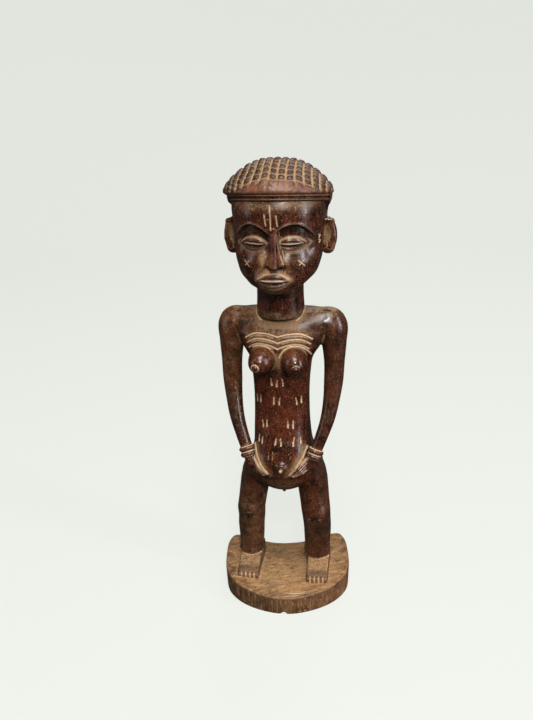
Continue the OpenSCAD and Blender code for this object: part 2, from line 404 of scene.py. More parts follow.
def hill(gap, width):
    """1 where a gap is zero, falling to nothing on both sides of it."""
    return np.exp(-(gap / width) ** 2)


def path_distance(u, v, path):
    """Distance from flat points (u, v) to a path of straight pieces."""
    nearest = np.full(len(u), 1e3)
    for (u0, v0), (u1, v1) in zip(path[:-1], path[1:]):
        du, dv = u1 - u0, v1 - v0
        t = np.clip(((u - u0) * du + (v - v0) * dv) / (du * du + dv * dv + 1e-9), 0, 1)
        nearest = np.minimum(nearest, np.hypot(u - u0 - t * du, v - v0 - t * dv))
    return nearest


class Carving:
    """Cuts gathered on the front of a skin, before they are carved together."""

    def __init__(self, skin):
        self.skin = skin
        self.relief = np.zeros(len(skin.points))
        self.seen = skin.front(-0.05, 0.25)

    def near(self, path, reach):
        """Indices of the points close to a path drawn over x and z, seen from the front."""
        path = np.array(path)
        low, high = path.min(0) - reach, path.max(0) + reach
        x, z = self.skin.points[:, 0], self.skin.points[:, 2]
        return np.nonzero((x > low[0]) & (x < high[0]) & (z > low[1]) & (z < high[1]) & (self.seen > 0))[0]

    def cut(self, path, half_width=0.9, depth=0.7, pale=1.0):
        """A knife line along a path over x and z, with pale dust in it."""
        at = self.near(path, 3 * half_width)
        gap = path_distance(self.skin.points[at, 0], self.skin.points[at, 2], path)
        inside = fade(0.2 * half_width, 1.5 * half_width, gap) * self.seen[at]
        self.relief[at] = np.minimum(self.relief[at], -depth * inside)
        pigment = np.zeros(len(self.relief))
        pigment[at] = pale * fade(0.55 * half_width, 1.35 * half_width, gap) * self.seen[at]
        self.skin.mask("cut", pigment)

    def carve(self):
        self.skin.push(self.relief)
        self.skin.find_normals()


def finish_skin(skin, small=6, broad=45, small_size=0.10, broad_size=0.9):
    """Sets the masks that follow the shape: dust in hollows, and on convex edges wear with a painted
    highlight.
    """
    skin.find_normals()
    skin.find_edges()
    fine, wide = skin.hollows(small), skin.hollows(broad)
    skin.mask("dust", np.maximum(ramp(0.25, 1.6, fine / small_size), ramp(0.25, 1.6, wide / broad_size)))
    # The edge mask lightens convex edges: partly wear, partly a painted highlight.
    skin.mask("edge", np.maximum(ramp(0.4, 2.2, -fine / small_size), 0))
    for name in ("cut", "worn", "dark"):
        skin.mask(name, np.zeros(len(skin.points)))


# ---------------------------------------------------------------- meshes
# Masks of the materials: dust, edge (wear with a painted highlight), cut, worn, and dark (mostly painted
# shade)
MASKS = ("dust", "edge", "cut", "worn", "dark")


def set_floats(mesh, name, values):
    layer = mesh.attributes.new(name, "FLOAT", "POINT")
    layer.data.foreach_set("value", np.asarray(values, dtype=np.float32))


def quad_mesh(name, points, quads):
    """A mesh in metres from points in sculpting units."""
    mesh = bpy.data.meshes.new(name)
    mesh.vertices.add(len(points))
    mesh.vertices.foreach_set("co", (points * UNIT).astype(np.float32).ravel())
    mesh.loops.add(4 * len(quads))
    mesh.loops.foreach_set("vertex_index", quads.astype(np.int32).ravel())
    mesh.polygons.add(len(quads))
    mesh.polygons.foreach_set("loop_start", np.arange(0, 4 * len(quads), 4, dtype=np.int32))
    mesh.update(calc_edges=True)
    return mesh


def skin_mesh(name, skin, keep=None):
    """The skin, or the part of it near the kept points, as a mesh with its masks and normals."""
    quads, used = skin.quads, slice(None)
    if keep is not None:
        quads = quads[keep[quads].any(axis=1)]
        used, flat = np.unique(quads, return_inverse=True)
        quads = flat.reshape(-1, 4)
    mesh = quad_mesh(name, skin.points[used], quads)
    for mask in MASKS:
        set_floats(mesh, mask, skin.masks[mask][used])
    layer = mesh.attributes.new("facing", "FLOAT_VECTOR", "POINT")
    layer.data.foreach_set("vector", skin.normals[used].astype(np.float32).ravel())
    return mesh


def cut_mesh(mesh, planes):
    """Cuts a mesh at planes, given as a point and the side thrown away, and closes it."""
    if not planes:
        return
    shape = bmesh.new()
    shape.from_mesh(mesh)
    for point, normal in planes:
        everything = shape.verts[:] + shape.edges[:] + shape.faces[:]
        bmesh.ops.bisect_plane(shape, geom=everything, dist=1e-7, plane_co=Vector(point) * UNIT,
                               plane_no=Vector(normal), clear_outer=True)
        rim = [edge for edge in shape.edges if edge.is_boundary]
        for face in bmesh.ops.holes_fill(shape, edges=rim, sides=0)["faces"]:
            face.normal_update()
            if face.normal.dot(Vector(normal)) < 0:
                face.normal_flip()
    shape.to_mesh(mesh)
    shape.free()


def add_piece(name, mesh, nodes, slot):
    """Puts a mesh in the scene as a piece of the figure that stands for CAD nodes."""
    count = len(mesh.vertices)
    facing = np.zeros(3 * count, dtype=np.float32)
    mesh.attributes["facing"].data.foreach_get("vector", facing)
    mesh.attributes.remove(mesh.attributes["facing"])
    mesh.shade_smooth()
    facing = facing.reshape(-1, 3)
    facing /= np.maximum(np.linalg.norm(facing, axis=1), 1e-6)[:, None]
    mesh.normals_split_custom_set_from_vertices(facing.tolist())
    mesh.materials.append(MATERIALS[slot])
    piece = bpy.data.objects.new(name, mesh)
    bpy.context.scene.collection.objects.link(piece)
    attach(piece, "root")
    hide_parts(*nodes)


# ---------------------------------------------------------------- trunk, arms and legs
# Rows of a loft are level, place across, depth, half width and half depth
TRUNK_ROWS = [
    (HIP - 4, 0, -7, 4, 5), (HIP + 1, 0, -6, 14, 16), (HIP + 6, 0, -4, 23.5, 25),
    (HIP + 14, 0, -1.5, 34.5, 33.5), (HIP + 25, 0, -3.5, 38.5, 38), (WAIST - 7, 0, -7, 34, 36.5),
    (WAIST + 5, 0, -7.5, 30, 33), (WAIST + 25, -0.8, -5.5, 28, 28), (WAIST + 45, -1, -4, 27.3, 25),
    (WAIST + 63, -1, -3, 27.4, 24.5), (WAIST + 81, -1, -2, 28.6, 25.5), (WAIST + 97, -0.8, -1, 31.2, 26.5),
    (WAIST + 111, -0.5, 0, 39.4, 26.5), (WAIST + 125, 0, 1, 45, 25), (COLLAR - 8, 0, 2, 42, 18.5),
    (COLLAR - 3.5, 0, 3, 34, 11), (COLLAR - 2.5, 0, 3, 30, 9),
]
# How square the trunk's cross-section is: 2 would be an oval
TRUNK_POWER = 2.25
TRUNK = loft(TRUNK_ROWS, power=TRUNK_POWER)
# The shoulder cap, an ellipsoid on the end of the yoke
SHOULDER_AT = (46.8, 3.0, COLLAR - 18.6)
SHOULDER_SIZE = (15.8, 14.4, 18.6)
YOKE_R = 14.2
ARM = loft([
    (COLLAR - 8, 47.0, 3, 9.6, 9.6), (COLLAR - 11, 47.4, 3, 11.8, 12), (COLLAR - 15, 48, 3, 13.4, 13.8),
    (COLLAR - 20, 48.5, 3, 14.0, 14.8), (COLLAR - 35, 50.1, 2, 12.0, 13.7), (ELBOW + 23, 50.6, 0, 10.2, 12.3),
    (ELBOW, 50.0, -4, 9.3, 11), (ELBOW - 17, 48.3, -9, 8.1, 9.3), (ELBOW - 35, 45, -15.5, 7.2, 7.8),
    (ELBOW - 51, 39.6, -21.8, 6.5, 6.7), (WRIST[2], WRIST[0], WRIST[1], 6.1, 6.1),
    (WRIST[2] - 12, WRIST[0] - 5, WRIST[1] - 4.5, 6, 6),
])
LEG_ROWS = [
    (HIP + 29, 23, 2, 7, 12), (HIP + 19, 26.4, 4, 12.6, 22), (HIP + 6, 28.9, 5, 14.1, 22.5),
    (HIP - 7, 30.4, 2.2, 14.3, 18.6), (HIP - 19, 32, -1, 13.9, 16.7),
    (HIP - 31, STANCE - 0.9, -4, 13.7, 16.5), (HIP - 41, STANCE - 0.5, -1.5, 13.3, 15.2),
    (HIP - 55, STANCE, 2, 13, 15.5), (HIP - 67, STANCE, 2, 12.5, 14.5), (HIP - 77, STANCE, 0.5, 12, 13.5),
    (ANKLE - 4, STANCE, 0, 11.6, 13), (ANKLE - 7, STANCE, 0, 9, 10),
]
# The legs aren't quite alike: how far each stands out, and how much thicker it is
LEG_OUT = {-1.0: 2.8, 1.0: -1.5}
LEG_SWELL = {-1.0: 0.9, 1.0: 1.4}


def leg_form(side):
    out, swell = LEG_OUT[side], LEG_SWELL[side]
    rows = [(z, x + out, y, rx + swell, ry + swell / 2) for z, x, y, rx, ry in LEG_ROWS]
    if side < 0:
        rows = [(z, x + 0.9 * float(z < HIP - 50), y, rx, ry) for z, x, y, rx, ry in rows]
    return mirrored(side, loft(rows))


BREAST = (15.4, -28.0, COLLAR - 43.5)
NAVEL = (2.0, BOX["pelvis"][0][1] + 3.4, WAIST - 7.0)
HIP_CUT = HIP - 9
BUTTOCK_SIZE = (18, 17.5, 18)
KNEE_HOLLOW = (12, 9, 9)


def upper_arm_only(side):
    """The arm down to just below the elbow."""
    distance, low, high = mirrored(side, ARM)
    bottom = ELBOW - 4
    return form(lambda x, y, z: np.maximum(distance(x, y, z), bottom - z), [low[0], low[1], bottom], high)


def model_breast(clay, side):
    x, y, z = BREAST
    clay.add(ball((side * x + TRUNK_X, y, z), (12.7, 15.2, 12.4)), 1.0)
    clay.add(ball((side * (x + 2.2) + TRUNK_X, y - 8.5, z - 1.4), (8.6, 7.8, 8.4)), 4)
    clay.add(ball((side * (x + 3.6) + TRUNK_X, y - 15.6, z - 2.4), (2.7, 2.7, 2.7)), 1.0)


def model_navel(clay):
    """A boss with a hole in it."""
    x, y, z = NAVEL
    clay.add(ball((x, y + 2.3, z), (5.4, 5, 5.0)), 2.5)
    clay.cut(ball((x + 0.6, y - 3.2, z + 1.0), (2.3, 4, 2.3)), 1)


def model_core():
    """Trunk, shoulders, upper arms, hips and legs in one clay, so that their joints stay smooth."""
    clay = Clay([-SHOULDER - 4, -56, ANKLE - 9], [SHOULDER + 4, 44, COLLAR + 8], BODY_STEP)
    clay.add(TRUNK)
    x, y, z = SHOULDER_AT
    clay.add(rod((4 - x, y, COLLAR - 14), (x - 4, y, COLLAR - 14), YOKE_R, YOKE_R), 7)
    for side in BOTH:
        clay.add(ball((side * x, y, z), SHOULDER_SIZE), 2.0)
        clay.add(ball((side * 19, 17, HIP + 20), BUTTOCK_SIZE), 6)
        clay.add(upper_arm_only(side), 3)
        clay.add(leg_form(side), 2.6)
        model_breast(clay, side)
        clay.cut(ball((side * STANCE, 24, HIP - 31), KNEE_HOLLOW), 6)
    model_navel(clay)
    clay.add(rod((0, -10, HIP - 1), (0, -11, HIP - 5.5), 2.6, 1.9), 1.5)
    clay.cut(rod((0, 34.5, HIP + 6), (0, 33, HIP + 30), 1.2, 0.8), 3)
    return Skin(clay)


# Height of each row of belly cuts over the waist, with the places of its cuts across the belly
BELLY_CUTS = (
    (77, (-7, -1.5, 4)), (58, (-22.6, -18.6, -5.0, 0.6, 16.5, 21)), (34.5, (-16.5, -12.2, 8.6, 13.6)),
    (18, (-20.5, -17, -3.0, 2, 14.4, 20.6)), (4.5, (-10, -6)),
)
# Rows lower than this over the waist have nearly been rubbed away
FAINT_BELOW = 10
ARCHES = 3
ARCH_PITCH = 5.0
ARCH_GAP = 2.0


def carve_arches(carving):
    """Double arches over the breasts, which meet in a point at the breastbone, and a ring on each."""
    for i in range(ARCHES):
        peak_x, end_x = 18.0 - 0.4 * i, 32.0 - 1.5 * i
        peak_z = COLLAR - 18.2 - ARCH_PITCH * i
        across = np.linspace(0.0, end_x, 15)
        inner, outer = 0.009 + 0.003 * i, 0.030 + 0.005 * i
        drop = np.where(across < peak_x, inner, outer) * (across - peak_x) ** 2
        for side in BOTH:
            x, z = side * across + TRUNK_X, peak_z - drop
            carving.cut(list(zip(x, z)), 0.66, 0.9)
            carving.cut(list(zip(x, z - ARCH_GAP))[2:-2], 0.45, 0.45, 0.4)
    for side in BOTH:
        middle = side * (BREAST[0] + 0.5) + TRUNK_X
        ring = ring_path(middle, BREAST[2] - 1.5, 15.2, 70 - 55 * side, 110 + 55 * side)
        carving.cut(ring, 0.65, 0.8)


def carve_belly_cuts(carving):
    """Rows of short upright cuts, each deeper and wider in its lower half."""
    rng = np.random.default_rng(4)
    for lift, places in BELLY_CUTS:
        pale = 0.12 if lift < FAINT_BELOW else 0.95
        depth = min(3 * pale, 1)
        for x in places:
            lean, length = rng.uniform(-0.5, 0.5), rng.uniform(5.6, 7.4)
            z = WAIST + lift + rng.uniform(-0.8, 0.8)
            top, foot = (x + TRUNK_X - lean, z + length / 2), (x + TRUNK_X + lean, z - length / 2)
            carving.cut([top, foot], 0.5, 0.6 * depth, 0.7 * pale)
            middle = (foot[0] - 0.2 * lean, foot[1] + length / 2.2)
            carving.cut([middle, foot], 0.72, 0.8 * depth, pale)


def ring_path(x, z, radius, first=0, last=360):
    """A circle, or a part of one between two angles in degrees."""
    turn = np.radians(np.linspace(first, last, 25))
    return list(zip(x + radius * np.cos(turn), z + radius * np.sin(turn)))


def carve_nipples(carving):
    x, _, z = BREAST
    carving.cut(ring_path(-x - 5.0, z - 2.6, 3.7), 0.5, 0.5)
    carving.cut(ring_path(x + 3.0, z - 2.0, 3.4, 20, 150), 0.5, 0.3, 0.4)


# A notch under a kneecap, as places across in shares of its reach and up from its middle
KNEE_ARC = ((-1, -1.8), (-0.45, 0.5), (0.3, 0.9), (1, -1.4))


def knee_middle(side):
    """How far the middle of a knee stands out."""
    return side * (STANCE - 1 + LEG_OUT[side])


def carve_knees(carving):
    """A notch under each kneecap, where the shin begins."""
    for side in BOTH:
        reach = 4.0 if side < 0 else 6.0
        arc = [(knee_middle(side) + 0.5 + share * reach, HIP - 34 + lift) for share, lift in KNEE_ARC]
        carving.cut(arc, 1.8, 1.8, 0.0)


def carve_groin(carving):
    """The faint lines of the fingers' ends under the navel."""
    for i in range(3):
        across = np.linspace(-9 + 2 * i, 15 - 2 * i, 9)
        level = HIP + 15.5 - 4.2 * i + 0.012 * (across - 2) ** 2
        carving.cut(list(zip(across, level)), 0.7, 0.8, 0.12)


def carve_core(skin):
    carving = Carving(skin)
    carve_groin(carving)
    carve_arches(carving)
    carve_belly_cuts(carving)
    carve_nipples(carving)
    carve_knees(carving)
    carving.carve()


def dust_and_shade_core(skin):
    """Dust that lies on the shoulders, round the neck and between the breasts; the limbs and the belly add
    their dust and painted shade.
    """
    x, y, z = skin.points.T
    up, front = np.clip(skin.normals[:, 2], 0, 1), skin.front(0.0, 0.5)
    skin.mask("dust", 0.55 * ramp(0.25, 0.95, up) * ramp(COLLAR - 24, COLLAR - 8, z))
    neck_gap = np.hypot(x - TRUNK_X, y) - NECK_R
    skin.mask("cut", 0.8 * fade(0.3, 1.3, np.abs(neck_gap - 0.3)) * (z > COLLAR - 8))
    skin.mask("dust", fade(1.0, 9.0, neck_gap) - (z < COLLAR - 14))
    skin.mask("dust", 0.8 * hill(x, 4.5) * ramp(-20, -27, y) * hill(z - BREAST[2], 11))
    chest = np.exp(-(x / 34) ** 4) * ramp(BREAST[2] + 4, BREAST[2] + 16, z) * front
    skin.mask("dust", 0.55 * chest)
    dust_and_shade_limbs(skin, x, y, z)
    dust_and_shade_belly(skin, x, y, z, front)


def dust_and_shade_belly(skin, x, y, z, front):
    """Dust that lies beside the hands, painted shade in and round the navel's hole, and its pale chip."""
    for side in BOTH:
        line = ridge_line(side)
        gap = path_distance(x, z, [(side * px, pz) for px, pz in line])
        across = np.interp(z, [pz for _, pz in reversed(line)], [px for px, _ in reversed(line)])
        inner = ramp(0.0, 2.0, across - side * x)
        skin.mask("dust", 0.9 * fade(0.6, 9.0, gap) * front * inner)
    nx, ny, nz = NAVEL
    boss = np.hypot(x - nx, z - nz)
    # Painted shade in the navel's hole and round its boss
    skin.mask("dark", np.maximum(0.6 * fade(3.0, 8.0, boss), 0.95 * fade(2.2, 3.4, boss)) * front)
    chip = np.hypot(x - nx + 0.9, z - nz + 2.0)
    skin.mask("cut", fade(1.1, 2.2, chip) - (y > ny + 8))


# The right arm is dustier than the left, and both are made darker than the trunk with painted shade
ARM_DUST = {-1.0: 0.28, 1.0: 0.15}
ARM_PAINTED_SHADE = 0.30


def dust_and_shade_limbs(skin, x, y, z):
    """A light film of dust on the arms, thighs and shins, painted shade on the arms and the lower shins, and
    painted shade in the dents under the knees.
    """
    arms = np.abs(x) > YOKE - 6
    skin.mask("dust", np.where(x < -YOKE, ARM_DUST[-1.0], ARM_DUST[1.0]) * arms)
    # Painted shade on the arms, from below the shoulders down
    skin.mask("dark", ARM_PAINTED_SHADE * arms * ramp(COLLAR - 20, COLLAR - 45, z))
    skin.mask("dust", np.where(x < 0, 0.32, 0.12) * fade(HIP - 2, HIP + 12, z))
    # Painted shade on the lower shins
    skin.mask("dark", 0.35 * fade(ANKLE + 44, ANKLE + 64, z))
    skin.mask("dust", 0.7 * fade(ANKLE - 2.0, ANKLE + 1.0, z))
    for side in BOTH:
        # Painted shade in the dent under each knee, with the dust taken out of it
        knee = np.hypot(x - knee_middle(side), (z - HIP + 34.5) * 1.3)
        shade = fade(2.0, 6.5, knee) * (y < 0)
        skin.mask("dark", 0.9 * shade)
        skin.masks["dust"] *= 1 - shade


# ---------------------------------------------------------------- hands and wrists
FINGERS = 4
HAND_OUT = {-1.0: 2.6, 1.0: 0.2}
# The ridge along the inner edge of a hand, as places across and up the belly
RIDGE = [(25.6, WRIST[2] + 6.5), (21.6, WRIST[2] - 2), (15.4, WRIST[2] - 10.3), (9.6, WRIST[2] - 17.0)]


def ridge_line(side):
    """The ridge of one hand; the right hand lies farther out, most of all at its knuckles."""
    shifts = [share * HAND_OUT[side] for share in (0.2, 0.8, 1.0, 1.0)]
    return [(x + shift, z) for (x, z), shift in zip(RIDGE, shifts)]


def on_belly(x, z, lift):
    """A place on the front of the trunk, raised off it by the given amount."""
    levels, *columns = zip(*TRUNK_ROWS)
    cx, cy, rx, ry = (float(smooth_through(levels, column, z)) for column in columns)
    share = min(abs(x - cx) / rx, 0.97) ** TRUNK_POWER
    return np.array([x, cy - ry * (1 - share) ** (1 / TRUNK_POWER) - lift, z])


def finger_line(i):
    """The root, middle and tip of a finger laid on the belly, as places across and up."""
    root = (25.4 + 1.9 * i, WRIST[2] - 4.6 - 2.3 * i)
    tip = (11.4 + 0.8 * i, WRIST[2] - 17.4 - 0.5 * i)
    middle = (0.5 * root[0] + 0.5 * tip[0], 0.5 * root[1] + 0.5 * tip[1] - 0.4 * i)
    return [root, middle, tip]


def hand_forms(side):
    """Back of a hand laid on the belly and its fingers, with their fillets."""
    wx, wy, wz = WRIST
    knuckle = on_belly(27.4 + HAND_OUT[side], wz - 7.5, 1.0)
    forms = [(rod((wx, wy, wz + 2), knuckle, 5.6, 4.8), 2.0)]
    for i in range(FINGERS):
        root, middle, tip = [(x + HAND_OUT[side], z) for x, z in finger_line(i)]
        places = [on_belly(*root, 2.6), on_belly(*middle, 2.2), on_belly(*tip, 1.0)]
        forms.append((rod(places[0], places[1], 2.5, 2.0), 1.0))
        forms.append((rod(places[1], places[2], 2.0, 1.2), 0.5))
    return [(mirrored(side, shape), blend) for shape, blend in forms]


def ridge_forms(side):
    """The thin raised edge along a hand, from the wrist to the fingers' ends."""
    places = [on_belly(x, z, 0.5) for x, z in ridge_line(side)]
    return [mirrored(side, rod(a, b, 1.35, 1.35)) for a, b in zip(places[:-1], places[1:])]


def wrist_axis(side):
    """Middle of the wrist, and the direction in which the forearm comes down to it."""
    elbow = np.array([57.0, -4.0, ELBOW])
    axis = (WRIST - elbow) / np.linalg.norm(WRIST - elbow)
    return WRIST * [side, 1, 1], axis * [side, 1, 1]


# Half length of a bracelet, its least radius and the height of its two ridges
BRACELET_HALF = 5.5
BRACELET_R = 6.6
BRACELET_RIDGE = 1.7


def bracelet_form(origin, axis):
    """Two round ridges between three grooves, turned about the wrist's axis."""
    def distance(x, y, z):
        px, py, pz = x - origin[0], y - origin[1], z - origin[2]
        t = px * axis[0] + py * axis[1] + pz * axis[2]
        rho = np.sqrt(np.maximum(px * px + py * py + pz * pz - t * t, 0))
        wave = 0.5 + 0.5 * np.cos(2 * math.pi * (np.abs(t) / BRACELET_HALF - 0.5))
        radius = BRACELET_R + BRACELET_RIDGE * wave ** 0.55
        return np.maximum(rho - radius, np.abs(t) - BRACELET_HALF)

    return form(distance, origin - 14.5, origin + 14.5)


def model_bracelet(side):
    origin, axis = wrist_axis(side)
    clay = Clay(origin - 11, origin + 11, FINE_STEP)
    clay.add(bracelet_form(origin, axis))
    skin = Skin(clay)
    t = (skin.points - origin) @ axis
    finish_skin(skin, 3, 14, 0.05, 0.5)
    grooves = np.min([np.abs(t - k * BRACELET_HALF * 0.97) for k in (-1, 0, 1)], axis=0)
    skin.mask("cut", 0.9 * fade(0.25, 0.85, grooves))
    return skin


def model_forearm(side):
    low, high = np.array([20.0, -48.0, WRIST[2] - 16]), np.array([64.0, 12.0, ELBOW + 6])
    if side < 0:
        low[0], high[0] = -high[0], -low[0]
    clay = Clay(low, high, BODY_STEP)
    clay.add(mirrored(side, ARM))
    skin = Skin(clay)
    finish_skin(skin)
    origin, axis = wrist_axis(side)
    along = (skin.points - origin) @ axis
    skin.mask("dust", ARM_DUST[side] * ramp(WRIST[2] + 4, ELBOW - 6, skin.points[:, 2]))
    skin.mask("dust", 0.5 * hill(along + BRACELET_HALF, 2.0))
    # Painted shade over the whole forearm, as on the upper arm
    skin.mask("dark", np.full(len(along), ARM_PAINTED_SHADE))
    return skin


def carve_fingers(skin, side):
    """Grooves between the fingers: with painted shade in them on the right hand, pale on the left one."""
    carving = Carving(skin)
    x, _, z = skin.points.T
    for i in range(FINGERS - 1):
        pairs = zip(finger_line(i), finger_line(i + 1))
        groove = [(side * ((a[0] + b[0]) / 2 + HAND_OUT[side]), (a[1] + b[1]) / 2) for a, b in pairs]
        carving.cut(groove, 0.5, 1.0, 0.0 if side < 0 else 0.4)
        if side < 0:
            # Painted shade along the grooves of the right hand
            skin.mask("dark", 0.8 * fade(0.3, 1.1, path_distance(x, z, groove)))
    carving.carve()


def dust_and_shade_hand(skin, side):
    """The dusty strip beside a hand's ridge, with painted shade in the crease beyond it; on the left hand it
    is wider and only at the fingers.
    """
    x, y, z = skin.points.T
    ridge = np.min([shape[0](x, y, z) for shape in ridge_forms(side)], axis=0)
    if side < 0:
        strip, crease = fade(2.2, 4.6, ridge), ramp(4.5, 6.5, ridge)
    else:
        strip = fade(1.0, 5.0, ridge) * ramp(WRIST[2] - 9, WRIST[2] - 5, z)
        crease = hill(ridge - 1.9, 0.8) * (1 - strip)
    skin.mask("cut", np.maximum(0.6 * fade(-0.2, 0.5, ridge), 0.42 * strip * ramp(0.4, 1.2, ridge)))
    skin.mask("dust", 0.9 * strip)
    # Painted shade: in a crease beside the strip on the left hand, over the fingers beyond the strip on the
    # right hand
    skin.mask("dark", 0.6 * crease)
    skin.masks["dust"] *= 1 - skin.masks["dark"]


def model_hand(side):
    reach = np.array([24.0, 18.0, 21.0])
    centre = np.array([side * 20.0, -34.0, WRIST[2] - 6.0])
    clay = Clay(centre - reach, centre + reach, FINE_STEP)
    for shape, blend in hand_forms(side):
        clay.add(shape, blend)
    (ox, oy, oz), (ax, ay, az) = wrist_axis(side)
    bracelet_end = BRACELET_HALF - 1.0
    clay.keep(lambda x, y, z: bracelet_end - ((x - ox) * ax + (y - oy) * ay + (z - oz) * az))
    for shape in ridge_forms(side):
        clay.add(shape, 0.6)
    skin = Skin(clay)
    carve_fingers(skin, side)
    finish_skin(skin, 4, 20, 0.05, 0.45)
    dust_and_shade_hand(skin, side)
    return skin


# ---------------------------------------------------------------- feet
TOES = 5
TOE_ROOT = 7.2


def block(low, high, round_r, top):
    """An upright block with rounded corners, cut off by a height that depends on y."""
    low, high = np.array(low, float), np.array(high, float)
    centre, half = (low + high) / 2, (high - low) / 2 - round_r

    def distance(x, y, z):
        qx, qy = np.abs(x - centre[0]) - half[0], np.abs(y - centre[1]) - half[1]
        flat = np.hypot(np.maximum(qx, 0), np.maximum(qy, 0)) + np.minimum(np.maximum(qx, qy), 0) - round_r
        return larger(flat, (z - top(y)) * 0.93, 1.6)

    return form(distance, low, high)


def foot_top(y):
    """Level of the top of a foot: flat at the ankle, then falling towards the toes."""
    places = [FOOT_LOW[1], FOOT_LOW[1] + 24, FOOT_HIGH[1]]
    return np.interp(y, places, [PLINTH_TOP + TOE_ROOT, ANKLE - 2.5, ANKLE - 1.5])


def foot_middle(side):
    """How far a foot's middle stands out from the figure's."""
    return STANCE + 0.6 + (2.4 if side < 0 else 0.0)


def model_foot(side):
    middle = foot_middle(side)
    half = (FOOT_HIGH[0] - FOOT_LOW[0]) / 2 - 0.9
    low = np.array([middle - half, FOOT_LOW[1] + 2.2, PLINTH_TOP - 6])
    high = np.array([middle + half, FOOT_HIGH[1], ANKLE + 4])
    ends = sorted((side * low[0], side * high[0]))
    clay = Clay([ends[0] - 3, FOOT_LOW[1] - 3, low[2]], [ends[1] + 3, high[1] + 3, high[2]], FINE_STEP)
    clay.add(mirrored(side, block(low, high, 4.0, foot_top)))
    pitch = 2 * (half - 2.2) / (TOES - 1)
    first, tip = middle - half + 2.3, low[1]
    for i in range(TOES):
        x = side * (first + i * pitch)
        clay.add(rod((x, tip + 6, PLINTH_TOP + 4.6), (x, tip + 0.4, PLINTH_TOP + 3.2), 2.4, 2.2), 0.8)
        clay.add(rod((x, tip + 0.8, PLINTH_TOP + 3.0), (x, tip + 0.8, PLINTH_TOP - 2), 2.2, 2.2), 0.6)
    skin = Skin(clay)
    carving = Carving(skin)
    for i in range(TOES - 1):
        x = side * (first + (i + 0.5) * pitch)
        carving.cut([(x, PLINTH_TOP + 1), (x, PLINTH_TOP + TOE_ROOT - 0.4 * abs(i - 1.5))], 0.8, 1.0, 1.0)
    carving.carve()
    finish_skin(skin, 5, 25, 0.06, 0.7)
    dust_and_shade_foot(skin, side * middle)
    return skin


def dust_and_shade_foot(skin, middle):
    """Dust on a foot's top, round the shin and low on its sides, and shade on its right side."""
    x, y, z = skin.points.T
    up = np.clip(skin.normals[:, 2], 0, 1)
    toes = fade(FOOT_LOW[1] + 6.0, FOOT_LOW[1] + 11.0, y)
    shaded = ramp(0.3, 0.7, -skin.normals[:, 0])
    skin.mask("dust", (0.25 + 0.40 * ramp(0.3, 0.9, up)) * (1 - 0.7 * toes))
    shin = np.hypot((x - middle) / 12.9, (y - 0.5) / 14.2)
    skin.mask("cut", 0.75 * fade(0.02, 0.09, np.abs(shin - 1.03)) * (up > 0.4))
    skin.mask("dust", 0.9 * fade(0.5, 3.2, z - PLINTH_TOP) * (1 - toes))
    skin.masks["dust"] *= 1 - 0.85 * shaded
    skin.mask("dark", np.maximum(0.14 + 0.36 * toes * (z > PLINTH_TOP + 2), 0.75 * shaded))


# ---------------------------------------------------------------- plinth
PLINTH_TURN = math.radians(8)
# Radius and middle of the round front, and how far the flat sides and ends stand out
PLINTH_R = 71.5
PLINTH_CY = 7.5
PLINTH_SIDE = 67.0
PLINTH_BACK = 47.0
# Radius and depth of the hollow in the back edge, radius of the top's trough and place of the notch
PLINTH_BAY_R = 90.0
PLINTH_BAY = 13.0
DISH_R = 450.0
NOTCH_X = 4.0


def plinth_frame(x, y):
    """Places in the plinth's own turned axes."""
    cos, sin = math.cos(PLINTH_TURN), math.sin(PLINTH_TURN)
    return x * cos + y * sin, y * cos - x * sin


def dish_level(u):
    """Level of the plinth's trough-shaped top."""
    return PLINTH_TOP - 0.3 + DISH_R - np.sqrt(DISH_R ** 2 - u * u)


def plinth_distance(x, y, z):
    """A round front between flat sides, a hollowed back, sides that lean in and a troughed top."""
    u, v = plinth_frame(x, y)
    round_front = np.hypot(u, v - PLINTH_CY) - PLINTH_R - 0.3 * np.sin(7 * np.arctan2(v, u))
    flat = larger(round_front, np.abs(u) - PLINTH_SIDE, 6)
    flat = larger(flat, v - PLINTH_BACK, 3)
    bay = PLINTH_BAY_R - np.hypot(u, v - (PLINTH_BACK - PLINTH_BAY + PLINTH_BAY_R))
    flat = larger(flat, bay, 3)
    taper = 0.035 * (PLINTH_TOP - z)
    return larger(flat + taper, z - dish_level(u), 3.2)


def model_plinth():
    reach = PLINTH_R + 4
    low, high = [-reach, -reach, -3], [reach, reach - 10, PLINTH_TOP + 12]
    clay = Clay(low, high, PLINTH_STEP)
    clay.add(form(plinth_distance, low, high))
    clay.keep(lambda x, y, z: -z, 0.8)
    front = PLINTH_CY - PLINTH_R
    clay.cut(rod((NOTCH_X, front - 4, 0.4), (NOTCH_X, front + 9, -2.5), 3.4, 2.4), 1.0)
    skin = Skin(clay)
    carve_plinth(skin)
    return skin


# Adze strokes on the plinth's top: how many, how long and how they lean; and flutes on its side
STROKES, STROKE_SIZE, STROKE_LEAN, STROKE_DEPTH = 260, 9.0, 0.15, 1.45
FLUTES, FLUTE_DEPTH = 170, 0.8


def adze_strokes(u, v, rng):
    """Shallow bands with round hollows, as a relief between -1 and 0."""
    relief = np.zeros(len(u))
    for _ in range(STROKES):
        cu, cv = rng.uniform(-62, 62), rng.uniform(-62, 46)
        turn = STROKE_LEAN + rng.normal(0, 0.25)
        cos, sin = math.cos(turn), math.sin(turn)
        long_r, short_r = STROKE_SIZE * rng.uniform(0.8, 1.7), STROKE_SIZE * rng.uniform(0.18, 0.3)
        a, b = (u - cu) * cos + (v - cv) * sin, (v - cv) * cos - (u - cu) * sin
        near = (np.abs(a) < long_r) & (np.abs(b) < short_r)
        depth = (1 - (a[near] / long_r) ** 2) * (1 - (b[near] / short_r) ** 2)
        relief[near] = np.minimum(relief[near], -rng.uniform(0.4, 1.0) * depth)
    return relief


